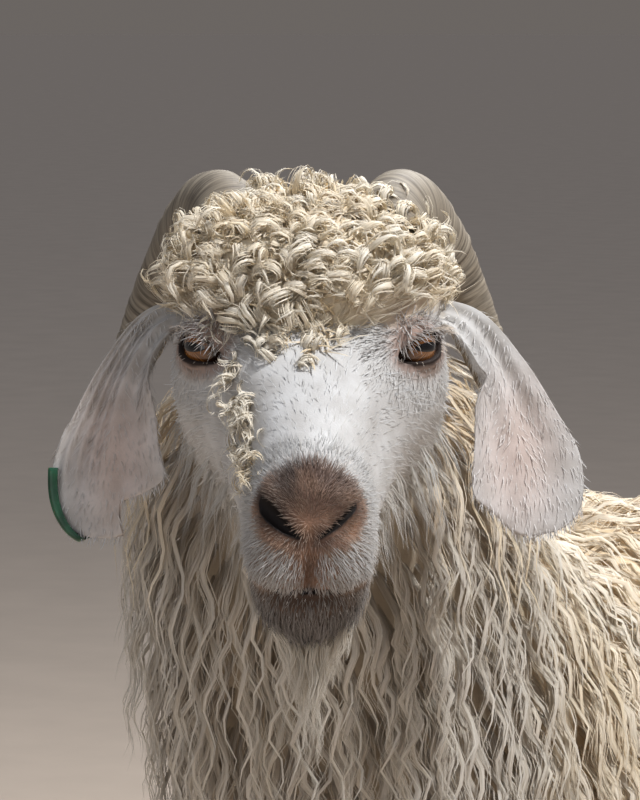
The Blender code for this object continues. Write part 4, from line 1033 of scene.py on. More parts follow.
def fleece_tones(roots, locks, rng, pale, gold, deep, golden=0.42, root_warmth_and_shade=0.38):
    """Root and tip colours of strands: golden patches, one tone a lock, warmer and with painted shade at the
    root.
    """
    by_lock = rng.random(locks.max() + 1)[locks]
    on_neck = soft(-roots[:, 1], 0.24, 0.32) * (roots[:, 2] < 0.70)
    share = np.clip(golden - 0.40 * on_neck + 0.38 * cloud(roots, 0.05, 3) + 0.5 * (by_lock - 0.5), 0, 1)
    tip = blended(pale, gold, share * 0.85)
    # On the neck the tips are greyer and a little darker and the roots greyer: partly less golden mohair,
    # partly painted shade under the head
    tip = blended(tip, linear("E6E4E0"), 0.6 * on_neck)
    # Roots drawn towards deep: partly the warmer mohair near the skin, partly painted shade deep in the
    # fleece
    root = blended(tip, deep, root_warmth_and_shade)
    root = blended(root, linear("A79D90"), 0.5 * on_neck)
    light = (0.95 + 0.12 * rng.random(len(roots)))[:, None]
    return root * light, tip * light


class GoatCoat(bpy.types.PropertyGroup):
    """Sizes and colours of the fleece"""

    density: bpy.props.FloatProperty(
        name="Density", description="How closely the locks are set", default=1.0, min=0.2, max=1.5
    )
    pale: bpy.props.FloatVectorProperty(
        name="Pale tips", description="Mohair at its lightest", subtype="COLOR", default=(0.985, 0.965, 0.92)
    )
    gold: bpy.props.FloatVectorProperty(
        name="Golden tips", description="Mohair with grease and dust in it", subtype="COLOR",
        default=(0.95, 0.89, 0.76),
    )
    # deep also stands for painted shade: roots and the skin under the fleece are darkened towards it
    deep: bpy.props.FloatVectorProperty(
        name="Depth", description="Mohair near the skin", subtype="COLOR", default=(0.82, 0.70, 0.54)
    )
    white: bpy.props.FloatVectorProperty(
        name="Face hair", description="Short hair of the face and ears", subtype="COLOR",
        default=(0.83, 0.83, 0.83),
    )


class GoatStage(bpy.types.PropertyGroup):
    """Floor, light and camera"""

    floor: bpy.props.FloatVectorProperty(
        name="Floor", description="Paint of the floor", subtype="COLOR", default=(0.74, 0.68, 0.62)
    )
    light: bpy.props.FloatProperty(
        name="Key light", description="Power of the key light", default=185.0, min=0.0, unit="POWER"
    )
    distance: bpy.props.FloatProperty(
        name="Camera distance", description="From the camera to the eyes", default=1.8, unit="LENGTH"
    )


def chosen(values):
    """A colour of the settings as a linear row."""
    return linear("".join("%02X" % int(part * 255) for part in values))


def coat_colours():
    """The coat's four colours as linear rows."""
    look = bpy.context.scene.goat_coat
    return [chosen(values) for values in (look.pale, look.gold, look.deep, look.white)]


# Skin


def body_skin():
    """Trunk, neck, legs and tail under the fleece, as one closed smooth surface."""
    pieces = []
    for tube, rows, sides, grow in (
        (trunk_tube(), 70, 72, BODY_COAT * CORE_SHARE),
        (neck_tube(), 40, 56, NECK_COAT * CORE_SHARE),
        (Tube(TAIL_SECTIONS), 24, 20, TAIL_COAT * 0.3),
    ):
        turns = full_turn(sides)
        rings = [tube.points(np.full(sides, p), turns, grow) for p in np.linspace(0, 1, rows)]
        pieces.append(closed_grid("tube", rings))
    for which, sign in LEGS:
        tube = leg_tube(which, sign)
        turns = full_turn(28)
        rings = []
        for place in np.linspace(0, 1, 80):
            high = tube.frame(place)[0][0, 2]
            fuller = 1.0 if which == "fore" else 1.3
            woolly = float(soft(high, JOINT[which] - 0.004, JOINT[which] + 0.055))
            grow = LEG_COAT * CORE_SHARE * fuller * woolly
            rings.append(tube.points(np.full(28, place), turns, grow))
        pieces.append(closed_grid("leg", rings))
    body = pieces[0]
    combine(body, "UNION", pieces[1:])
    remesh = body.modifiers.new("even", "REMESH")
    remesh.mode = "VOXEL"
    remesh.voxel_size = VOXEL
    smoothing = body.modifiers.new("soften", "SMOOTH")
    smoothing.factor, smoothing.iterations = 0.5, 5
    apply_modifiers(body)
    return body


def almond(turns, scale):
    """The outline of the eye's opening in its long and short axes, scaled. The tear corner is drawn out."""
    c, s = np.cos(turns), np.sin(turns)
    wide = 0.0140 * (c - 0.10 * np.clip(-c, 0, 1) ** 4) * scale
    tall = np.where(s > 0, 0.0070, 0.0052) * s * np.abs(s) ** 0.30 * scale
    return wide, tall - 0.0006


def eye_prism(sign, scale):
    """The closed prism along the gaze that cuts one eye's opening."""
    look, long, short = gaze(sign)
    turns = full_turn(40)
    wide, tall = almond(turns, scale)
    flat = np.outer(wide, long) + np.outer(tall, short)
    return closed_grid("prism", [eye_centre(sign) + look * reach + flat for reach in (0.001, 0.012, 0.045)])


def fine_ball(name, centre, radius, segments=64, rings=40):
    """A closed ball."""
    shape = bmesh.new()
    bmesh.ops.create_uvsphere(shape, u_segments=segments, v_segments=rings, radius=radius)
    for vert in shape.verts:
        vert.co += Vector(centre)
    return finished(name, shape)


def lid_ring(turns, scale, ball_radius):
    """The offsets of a lid's ring along the opening's axes, and how high a ball stands there."""
    wide, tall = almond(turns, 1.0)
    wide = wide + np.cos(turns) * LID_WIDTH * (scale - 1)
    tall = tall + np.sin(turns) * LID_WIDTH * (scale - 1)
    return wide, tall, np.sqrt(np.maximum(ball_radius**2 - wide**2 - tall**2, 1e-6))


def lids(sign, ground):
    """Both lids of one eye as a closed ring, from over the eyeball's front out into the face."""
    look, long, short = gaze(sign)
    centre = eye_centre(sign)
    turns = full_turn(72)
    upper = np.clip(np.sin(turns), 0, 1)
    rings = []
    for k, scale in enumerate(LID_PROFILE):
        wide, tall, ball = lid_ring(turns, scale, EYE_RADIUS + 0.0022)
        flat = np.outer(wide, long) + np.outer(tall, short)
        face = []
        for offset in flat:
            hit = ground.tree.ray_cast(Vector(centre + offset + look * 0.06), Vector(-look))[0]
            face.append(0.0 if hit is None else (np.array(hit) - centre) @ look)
        face = np.array(face)
        blend = soft(scale, 1.12, 1.75)
        both = (face + ball + np.sqrt((face - ball) ** 2 + LID_EASE**2)) / 2
        height = ball * (1 - blend) + both * blend
        margin = (-0.0018, -0.0002, 0.0006)[k] if k < 3 else 0.0008
        fold = -0.0016 * upper * math.exp(-(((scale - 1.40) / 0.07) ** 2))
        bag = 0.0007 * np.clip(-np.sin(turns), 0, 1) * math.exp(-(((scale - 1.34) / 0.12) ** 2))
        height = height + margin * (1 - blend) + fold + bag
        if k == len(LID_PROFILE) - 1:
            height = height - 0.0022
        rings.append(centre + flat + np.outer(height, look))
    for scale in (1.6, 1.2, 1.0):
        wide, tall, ball = lid_ring(turns, scale, EYE_RADIUS - 0.002)
        flat = np.outer(wide, long) + np.outer(tall, short)
        rings.append(centre + flat + np.outer(np.minimum(ball, 0.006) - 0.001, look))
    rings = np.array(rings)
    count = len(turns)
    last = (len(rings) - 1) * count
    band = [(last + k, last + (k + 1) % count, (k + 1) % count, k) for k in range(count)]
    mesh = raw_mesh("lids", rings.reshape(-1, 3), np.concatenate([grid_faces(len(rings), count), band]))
    shape = bmesh.new()
    shape.from_mesh(mesh)
    bmesh.ops.recalc_face_normals(shape, faces=shape.faces)
    shape.to_mesh(mesh)
    shape.free()
    return linked("lids", mesh)


def rod(path, radii, sides=12, steps=40):
    """A bent, tapered rod that cuts a groove."""
    knots = np.linspace(0, 1, len(path))
    radii = np.asarray(radii, float)[:, None]
    rows = smooth_rows(knots, np.hstack([np.asarray(path, float), radii]), np.linspace(0, 1, steps))
    along = unit(np.gradient(rows[:, :3], axis=0))
    across = unit(np.cross(along, DORSAL + LEFTWARD * 0.01))
    over = np.cross(along, across)
    turns = full_turn(sides)
    rings = [
        row[:3] + row[3] * (np.outer(np.cos(turns), a) + np.outer(np.sin(turns), b))
        for row, a, b in zip(rows, across, over)
    ]
    return closed_grid("rod", rings)


def mouth_line():
    """The line of the mouth round the muzzle, from the right corner to the left."""
    knots = [row[0] for row in HEAD_SECTIONS]
    half_path = []
    for ahead in np.concatenate([np.linspace(MOUTH_CORNER, 0.205, 8), [0.2115]]):
        top, bottom = smooth_rows(knots, [row[1:] for row in HEAD_SECTIONS], ahead)[0][:2]
        up = MOUTH_UP + 0.006 * (0.205 - ahead) / 0.053
        level = np.clip((up - (top + bottom) / 2) / ((top - bottom) / 2), -1, 1)
        angle = math.acos(np.sign(level) * abs(level) ** (SQUARE / 2))
        half_path.append(head_points(np.array([ahead]), np.array([angle]))[0])
    half_path = np.array(half_path)
    middle = np.array([[0.0, half_path[-1][1] + 0.0012, half_path[-1][2]]])
    return np.concatenate([half_path * (-1, 1, 1), middle, half_path[::-1]])


def nostril_path(sign):
    """The comma of one nostril, from beside the philtrum up and out."""
    return np.array([(out * sign, ahead, up) for out, ahead, up in NOSTRIL_LINE])


def placed(path):
    """Points in the head's axes moved to the goat's."""
    return from_head(path[:, 0], path[:, 1], path[:, 2])


def head_skin():
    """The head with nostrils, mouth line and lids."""
    columns = 168
    turns = full_turn(columns)
    places = np.concatenate([np.linspace(-0.040, 0.190, 130)[:-1], np.linspace(0.190, 0.2135, 34)])
    rings = [placed(head_points(np.full(columns, place), turns)) for place in places]
    for inward in np.linspace(0, 1, 26)[1:-1]:
        rings.append(placed(head_points(np.full(columns, places[-1]), turns, inward)))
    head = closed_grid("head", rings)
    ground = Surface(head)
    rings_of_lids = [lids(sign, ground) for sign in (1, -1)]
    lips = 0.0005 + 0.0014 * (1 - soft(np.abs(MOUTH[:, 0]), 0.010, 0.020))
    cutters = [rod(placed(MOUTH), lips, steps=110)]
    for sign in (1, -1):
        cutters.append(rod(placed(nostril_path(sign)), NOSTRIL_RADII[sign]))
        cutters.append(eye_prism(sign, 1.16))
        cutters.append(fine_ball("socket", eye_centre(sign), EYE_RADIUS + 0.0004))
    combine(head, "DIFFERENCE", cutters)
    combine(head, "UNION", rings_of_lids)
    return head


def topknot_core():
    """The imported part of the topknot: a boxy dome over the poll and brow, tucked in over the eyes."""
    rings = []
    turns = full_turn(56)
    for place in np.linspace(0.08, 2.5, 34):
        ring = rounded(np.sin(place), TOPKNOT_SQUARE)
        way = np.stack(
            [
                ring * rounded(np.sin(turns), TOPKNOT_SQUARE),
                ring * rounded(np.cos(turns), TOPKNOT_SQUARE),
                np.full(56, rounded(np.cos(place), TOPKNOT_SQUARE)),
            ],
            axis=1,
        )
        off = way * TOPKNOT_DOME[1]
        off[:, :2] *= 1 - 0.32 * soft(-off[:, 2:], 0.0, 0.014)
        rings.append(placed(np.array(TOPKNOT_DOME[0]) + off))
    return closed_grid("dome", rings)


def dome_depth(points):
    """Below 1 inside the topknot's dome and above 1 outside it."""
    off = np.abs((to_head(points) - TOPKNOT_DOME[0]) / TOPKNOT_DOME[1])
    return (off**TOPKNOT_SQUARE).sum(axis=1) ** (1 / TOPKNOT_SQUARE)


def ear_skin(sign):
    """One hanging ear, with the long soft ridges and the folded inner margin of the real one."""
    rings = []
    columns = 60
    for along in np.linspace(0.0, 0.998, 96):
        end = math.sqrt(max(0.0, 1 - max(0.0, (along - 0.86) / 0.14) ** 2.2))
        across = np.concatenate([np.linspace(-1, 1, columns), np.linspace(0.98, -0.98, columns)])
        face = np.concatenate([np.full(columns, 0.5), np.full(columns, -0.5)])
        thin = np.sqrt(np.clip(1.01 - across**2, 0.05, 1)) * EAR_THICKNESS * (1.5 - 0.6 * along)
        middle = math.sin(math.pi * min(1.0, along * 1.05)) ** 0.7
        ridge = np.sin(across * 7.0 * sign + 3.5 * along + 1.2 * math.sin(5 * along)) * (1 - across**2)
        ridge = ridge * (0.0013 if sign > 0 else 0.0021) * middle
        inner = np.clip(-sign * across * sign - 0.55, 0, 1)
        fold = 0.016 * inner**1.2 * math.exp(-(((along - 0.36) / 0.16) ** 2))
        wobble = 0.05 * math.sin(9 * along + 1) * middle * (across < 0) * across**2
        place = (across + wobble) * end
        down = np.full(len(across), along)
        if sign > 0:
            notch = -0.35 * math.exp(-(((along - 0.37) / 0.035) ** 2))
            notch += 0.12 * math.exp(-(((along - 0.47) / 0.05) ** 2))
            place = place * (1 + notch * soft(-across, 0.2, 0.9))
        else:
            inside = float(soft(along, 0.12, 0.22)) * (1 - float(soft(along, 0.68, 0.85)))
            for groove in (0.22, 0.44, 0.66, 0.86):
                ridge = ridge - 0.0024 * inside * np.exp(-(((across - groove - 0.06 * along) / 0.06) ** 2))
            down = down * (1 - 0.13 * soft(-across, 0.0, 0.35))
        rings.append(ear_points(sign, down, place, face * thin + ridge + fold))
    return closed_grid("ear", rings)


def eye_local(points, sign):
    """Points in one eye's own axes: long, short and look, from the eyeball's middle."""
    look, long, short = gaze(sign)
    off = np.asarray(points) - eye_centre(sign)
    return np.stack([off @ long, off @ short, off @ look], axis=-1)


def almond_scale(points, sign):
    """How many times the opening's outline a point lies from the middle of one eye, in front of it."""
    local = eye_local(points, sign)
    out = np.maximum(np.hypot(local[:, 0] / 0.0142, (local[:, 1] + 0.0006) / 0.0068), 1e-6)
    far = np.hypot(local[:, 0], local[:, 1]) * (1 - 1 / out)
    return np.where(local[:, 2] > -0.016, 1 + far / LID_WIDTH, 9.0)


def near_path(local, path, radii=0.0):
    """The distance of each point to a path of points, or to a rod of given radii along it."""
    radii = np.broadcast_to(radii, (len(path),))
    dense = smooth_rows(np.linspace(0, 1, len(path)), np.column_stack([path, radii]), np.linspace(0, 1, 60))
    return (np.linalg.norm(local[:, None] - dense[None, :, :3], axis=2) - dense[None, :, 3]).min(axis=1)


def nostril_gap(local, sign):
    """How far points in the head's axes lie outside one nostril's hole."""
    return near_path(local, nostril_path(sign), NOSTRIL_RADII[sign])


def leather_share(local):
    """1 on the bare leather of the nose and lips and 0 where hair grows, in the head's axes."""
    out, ahead, up = head_parts(local)
    ragged = 0.0016 * cloud(local, 0.004, 5) + 0.0012 * cloud(local, 0.012, 15)
    half = 0.0260 - 0.55 * np.maximum(up - 0.016, 0) - 0.60 * np.maximum(0.004 - up, 0) + ragged
    pad = soft(half - out, -0.0022, 0.0014) * soft(ahead - 0.10 * out, 0.1895, 0.1955)
    pad = pad * soft(up - 0.30 * out + ragged, -0.0135, -0.0085)
    stem = soft(0.0026 - out + ragged * 0.5, -0.0010, 0.0010) * soft(up, -0.026, -0.024)
    stem = stem * soft(ahead, 0.200, 0.204) * (1 - soft(up, -0.008, -0.004))
    return np.clip(np.maximum(pad, stem), 0, 1)


def lip_share(local):
    """1 on the dark skin along the mouth: a narrow rim above it and the whole lower lip below it."""
    out, ahead, up = head_parts(local)
    mouth = near_path(local, MOUTH)
    front = 1 - soft(out + 0.002 * cloud(local, 0.006, 4), 0.012, 0.021)
    line = MOUTH_UP + 0.113 * np.clip(0.205 - ahead, 0, 0.06)
    below = up < line
    lower = (1 - soft(mouth, 0.008 + 0.002 * cloud(local, 0.004, 6), 0.013)) * front
    upper = (1 - soft(mouth, 0.0016, 0.0040)) * (1 - soft(out, 0.014, 0.026))
    return np.where(below, np.maximum(lower, upper * 0.8), upper) * soft(ahead, 0.150, 0.165)


MOUTH = mouth_line()


def hide_colours(points):
    """The skin's colour at each point, and how much of it is bare leather."""
    pale, gold, deep, white = coat_colours()
    local = to_head(points)
    out, ahead, up = head_parts(local)
    on_head = soft(ahead, 0.015, 0.045) * (1 - soft(ahead, 0.23, 0.24)) * soft(0.085 - out, 0.0, 0.01)
    on_head = on_head * soft(up, -0.085, -0.070)
    dome = (1 - soft(dome_depth(points), 1.0, 1.06)) * soft(up, 0.035, 0.05)
    neck = soft(-points[:, 1], 0.20, 0.30) * soft(points[:, 2], 0.36, 0.46) * (1 - on_head) * (1 - dome)
    brow = ((out - 0.050) / 0.016) ** 2 + ((ahead - 0.088) / 0.018) ** 2 + ((up - 0.048) / 0.012) ** 2
    muzzle = soft(ahead, 0.168, 0.200) * (1 - soft(up, 0.018, 0.03))
    # The lower muzzle and the underside of the chin are darkened: partly their brown skin, partly painted
    # shade under the muzzle
    lower = soft(ahead, 0.184, 0.200) * (1 - soft(up, -0.012, 0.002))
    cupid = np.exp(-((out / 0.013) ** 2)) * (1 - soft(up, -0.008, 0.0)) * soft(ahead, 0.196, 0.203)
    chin_brown_and_shade = (1 - soft(up, -0.036, -0.030)) * soft(ahead, 0.165, 0.185) * (1 - soft(-up, 0.058, 0.068))
    layers = [
        (white * 0.84, on_head),
        # Painted shade: the dome under the curls and the neck under its fleece are coloured as darker, greyer
        # fleece
        (blended(gold, pale, 0.4) * 0.85, dome),
        (linear("B9AFA0"), 0.8 * neck),
        (linear("B39A8C"), 0.75 * np.exp(-brow)),
        (linear("B8A08E"), 0.45 * muzzle),
        (linear("7C6756"), 0.75 * lower),
        (linear("8E6C58"), 0.85 * cupid),
        (linear("4C3D34"), 0.85 * chin_brown_and_shade),
    ]
    rim = linear("2A1F1B")
    for sign in (1, -1):
        scale = almond_scale(points, sign)
        corner = eye_local(points, sign)
        tear = np.exp(-((corner[:, 0] + 0.0145) ** 2 + (corner[:, 1] + 0.001) ** 2) / 0.0030**2)
        layers += [
            (linear("94796C"), 0.75 * (1 - soft(scale, 1.35, 2.10))),
            (rim, 1 - soft(scale + 0.06 * cloud(local, 0.004, 21), 1.05, 1.20)),
            (rim, 0.8 * tear * (corner[:, 2] > -0.004)),
        ]
    pink = blended(linear("A5836D"), linear("7D6255"), 0.5 + 0.5 * cloud(local, 0.007, 9))
    # The upper pad is drawn towards dark brown, its own fuzz, and more so towards the goat's right: painted
    # shade on the side away from the key light
    pad_brown_and_side_shade = 0.72 + 0.40 * cloud(local, 0.012, 12) - 10 * local[:, 0]
    pink = blended(pink, linear("453630"), soft(up, 0.002, 0.015) * np.clip(pad_brown_and_side_shade, 0.45, 0.95))
    leather = leather_share(local)
    lip = lip_share(local)
    layers += [(pink, leather), (linear("3A2A22"), lip * 0.92)]
    leather = np.maximum(leather, lip * 0.7)
    # Painted shade round each nostril, and the hole's walls painted near black as the shade inside it
    for sign, shade in ((1, 0.45), (-1, 0.62)):
        hole = nostril_gap(local, sign)
        layers += [
            (linear("2E211C"), shade * (1 - soft(hole, 0.0010, 0.0060))),
            (linear("150D0A"), 1 - soft(hole, 0.0001, 0.0013)),
        ]
        leather = leather * soft(hole, 0.0002, 0.0012)
    # Painted shade in the mouth's slit, under the overhang of the upper lip
    mouth_slit_shade = (1 - soft(near_path(local, MOUTH), 0.0018, 0.0034)) * (1 - soft(out, 0.014, 0.023))
    level = points[:, 2]
    shank = 1 - soft(level, 0.17, 0.24)
    layers += [
        (linear("1E1512"), mouth_slit_shade),
        (pale * 0.86, shank),
        (linear("8C7A68"), shank * (1 - soft(level, 0.040, 0.062)) * 0.6),
    ]
    # Painted shade: the skin under the fleece is coloured as darkened fleece, so gaps between the locks read
    # as depth
    colours = blended(deep * 0.9, gold, 0.55 + 0.25 * cloud(points, 0.03, 8)) * 0.92
    for tone, share in layers:
        colours = blended(colours, tone, share)
    return colours, leather


def ear_pink(points, sign):
    """How pink one ear is at each point: in the cup, towards its middle."""
    off = points - from_eyes((0.101 + EAR_SHIFT[sign] * 0.6) * sign, -0.055, 0.03)
    return np.exp(-(((off @ LEFTWARD) / 0.020) ** 2 + ((off @ UP) / 0.036) ** 2))


def on_ear(points):
    """The side of the ear that each point belongs to, or 0."""
    off = points - EYES_MIDDLE
    out, above, behind = off @ LEFTWARD, off @ UP, -(off @ FACING)
    wide = (np.abs(out) > 0.066) & (above > -0.11) & (above < 0.03) & (behind < 0.062) & (behind > -0.01)
    beyond = np.abs(to_head(points)[:, 0]) > 0.0655
    return np.where(wide & beyond, np.sign(out), 0)


class GOAT_OT_skin(bpy.types.Operator):
    """Make the skin: one surface from the nose to the coronets"""

    bl_idname = "goat.skin"
    bl_label = "Skin"

    def execute(self, context):
        body = body_skin()
        head = head_skin()
        ears = {sign: ear_skin(sign) for sign in (1, -1)}
        GROUND["body"] = Surface(body)
        GROUND["head"] = Surface(head)
        GROUND["ear"] = {sign: Surface(ear) for sign, ear in ears.items()}
        dome = topknot_core()
        GROUND["dome"] = Surface(dome)
        combine(head, "UNION", [dome, *ears.values()])
        combine(body, "UNION", [head])
        body.name = body.data.name = "skin"
        points = coordinates(body.data)
        colours, leather = hide_colours(points)
        side = on_ear(points)
        white = coat_colours()[3]
        for sign in (1, -1):
            here = side == sign
            colours[here] = blended(white * 0.86, linear("D9B7A8"), 0.45 * ear_pink(points[here], sign))
        set_colours(body.data, "hide", colours)
        data = body.data.attributes.new("leather", "FLOAT", "POINT").data
        data.foreach_set("value", leather.astype(np.float32))
        dress(body, hide_material(), REPLACED)
        return {"FINISHED"}


def body_keep(points, normals):
    """Where long fleece grows on the body: everywhere but the shanks."""
    return soft(points[:, 2], 0.215, 0.235)


def body_lie(point, normal):
    """The way that fleece leaves the skin: off the spine, a little to the rear, and down the legs."""
    sign = 1.0 if point[0] > 0 else -1.0
    if point[2] < 0.36:
        return np.array([0.1 * sign, 0.15, -1.0])
    if point[1] < -0.23:
        return np.array([0.4 * normal[0], 0.1, -1.0])
    aside = min(abs(point[0]) / 0.045, 1.0)
    return np.array([sign * 0.9 * aside, 0.35 + 0.8 * (1 - aside), -0.35])


def walked(surface, roots, normals, rng):
    """Paths of many locks of fleece over a surface."""
    paths, backs = [], []
    for root, normal in zip(roots, normals):
        length, lift = fleece_sizes(root, normal)
        length = length * rng.uniform(0.85, 1.15)
        lift = lift * rng.uniform(0.55, 1.0)
        path, back = surface.walk(root, body_lie(root, normal), length, lift, rng)
        paths.append(path)
        backs.append(back)
    return np.array(paths), np.array(backs)


def fleece_sizes(root, normal):
    """Length and lift of the fleece at a root."""
    neck = float(soft(-root[1], 0.20, 0.26))
    if root[2] < 0.34:
        return 0.070, LEG_COAT * 0.5
    under = float(soft(-normal[2], 0.3, 0.8))
    length = 0.095 * (1 - 0.35 * under) * (1 - neck) + 0.115 * neck
    lift = BODY_COAT * (1 - CORE_SHARE) * 0.85 * (1 - neck) + NECK_COAT * (1 - CORE_SHARE) * 0.6 * neck
    return length, lift * (1 - 0.5 * float(soft(normal[2], 0.75, 0.98)))


def fleece_part(name, keep, spacing, rng, fine, wide, hair, steps, wave, unwrap, **options):
    """One part of the fleece, where keep says so."""
    look = bpy.context.scene.goat_coat
    pale, gold, deep, _ = coat_colours()
    surface = GROUND["body"]
    roots, normals = surface.scatter(keep, spacing / math.sqrt(look.density), rng)
    clear = np.array([GROUND["head"].nearest(root)[2] > -0.002 for root in roots])
    roots, normals = roots[clear], normals[clear]
    paths, backs = walked(surface, roots, normals, rng)
    wide = wide * rng.uniform(0.7, 1.25, len(roots))
    strands = lock_strands(paths, backs, rng, fine, wide, hair, steps, wave, **options)
    tones = fleece_tones(strands["points"][:, 0], strands["lock"], rng, pale, gold, deep)
    strand_pieces(name, strands, tones, unwrap, MATERIALS["fleece"], "fleece")


def zone(low, high, side=0):
    """A test for the body between two places along it, and on one side if given."""

    def keep(points, normals):
        y = points[:, 1]
        inside = (y >= low) & (y < high) & (points[:, 2] > 0.30)
        if side:
            inside &= points[:, 0] * side > 0
        return body_keep(points, normals) * inside

    return keep


def thigh_keep(points, normals):
    """The thighs and upper arms."""
    return body_keep(points, normals) * (points[:, 2] <= 0.30)


def throat_share(points, normals):
    """1 on the front of the neck, where the fleece is finest, and less behind."""
    ahead = soft(normals @ FACING, -0.1, 0.4)
    by_head = soft(points[:, 2], 0.575, 0.63)
    return 0.30 + 0.70 * np.maximum(ahead, by_head)


class GOAT_OT_fleece(bpy.types.Operator):
    """Make the long fleece of the body, neck and legs"""

    bl_idname = "goat.fleece"
    bl_label = "Fleece"

    def execute(self, context):
        rng = np.random.default_rng(SEED)
        MATERIALS["fleece"] = mohair_material("mohair_fleece", 1.15, 0.46)
        trunk, neck = unwrap_tube(trunk_tube(), 0, 0), unwrap_tube(neck_tube(), 1, 0)
        front = zone(-0.60, -0.235)

        def neck_keep(points, normals):
            return front(points, normals) * throat_share(points, normals)

        fleece_part(
            "coat_neck", neck_keep, 0.0150, rng, 5, 0.0110, 0.0007, 13, 0.0038, neck,
            wavelength=0.040, ringlet=0.6, core=0.40, ragged=0.5,
        )
        fleece_part(
            "coat_shoulder", zone(-0.235, -0.03, 1), 0.0172, rng, 5, 0.0120, 0.0009, 13, 0.0030, trunk,
            wavelength=0.030, ringlet=0.8, core=0.45, ragged=0.4,
        )
        for name, low, high, side in FLEECE_ZONES:
            fleece_part(
                f"coat_{name}", zone(low, high, side), 0.0292, rng, 4, 0.0165, 0.0022, 10, 0.0038, trunk,
                wavelength=0.040, ringlet=0.8, core=0.36, ragged=0.4,
            )
        fleece_part(
            "coat_thighs", thigh_keep, 0.0300, rng, 3, 0.0140, 0.0018, 8, 0.0022,
            unwrap_tube(leg_tube("fore", 1), 0, 1), wavelength=0.040, ringlet=0.8,
        )
        return {"FINISHED"}


def hand_locks(
    name, roots, ways, backs, lengths, rng, drop, fine, wide, hair, steps, tones, unwrap, material, **options
):
    """Locks that leave their roots along given ways and then drop, without a surface to lie on."""
    share = np.linspace(0, 1, 8)[None, :, None]
    paths = roots[:, None] + ways[:, None] * lengths[:, None, None] * share
    paths = paths - UP * (lengths[:, None, None] * drop * share**2)
    backs = np.repeat(backs[:, None], 8, axis=1)
    strands = lock_strands(paths, backs, rng, fine, wide, hair, steps, **options)
    colours = fleece_tones(strands["points"][:, 0], strands["lock"], rng, *tones)
    strand_pieces(name, strands, colours, unwrap, material, "fleece")


class GOAT_OT_tail(bpy.types.Operator):
    """Make the locks of the tail"""

    bl_idname = "goat.tail"
    bl_label = "Tail"

    def execute(self, context):
        rng = np.random.default_rng(SEED + 1)
        pale, gold, deep, _ = coat_colours()
        tail = Tube(TAIL_SECTIONS)
        where = rng.uniform(0.30, 1.0, 90)
        angle = rng.uniform(-2.2, 2.2, 90)
        roots = tail.points(where, angle)
        centre, _, _ = tail.frame(where)
        outward = unit(roots - centre[:, :3])
        ways = unit(outward * 0.8 + np.array([0, 0.5, -0.3]) + np.outer(np.sign(roots[:, 0]), SIDE) * 0.3)
        hand_locks(
            "coat_tail", roots, ways, outward, rng.uniform(0.040, 0.062, 90), rng, 0.55, 4, 0.012, 0.0015, 11,
            (pale, gold, deep), unwrap_tube(tail, 1, 1), MATERIALS["fleece"], wave=0.0025,
        )
        return {"FINISHED"}


def curl_paths(roots, outward, fall, radius, turns, length, rng, steps=22):
    """Ringlets: each path winds round a line that rises out of the skin and falls over."""
    count = len(roots)
    share = np.linspace(0, 1, steps)[None, :, None]
    fall = unit(fall - outward * (fall * outward).sum(axis=1)[:, None] * 0.8)
    across = unit(np.cross(outward, fall))
    rise = np.sin(math.pi * np.clip(share * 0.75 + 0.05, 0, 1))
    spine = roots[:, None] + outward[:, None] * (rise * radius[:, None, None] * 1.5 - 0.003)
    spine = spine + fall[:, None] * share * length[:, None, None]
    phase = 2 * math.pi * rng.random((count, 1, 1))
    hand = np.where(rng.random((count, 1, 1)) < 0.5, -1, 1)
    beat = phase + 2 * math.pi * turns[:, None, None] * share
    size = radius[:, None, None] * (0.35 + 0.65 * soft(share, 0, 0.3)) * (1 - 0.25 * share)
    path = spine + across[:, None] * np.cos(beat) * size * hand + outward[:, None] * np.sin(beat) * size * 0.9
    backs = unit(path - spine + outward[:, None] * 0.4 * size)
    return path, backs


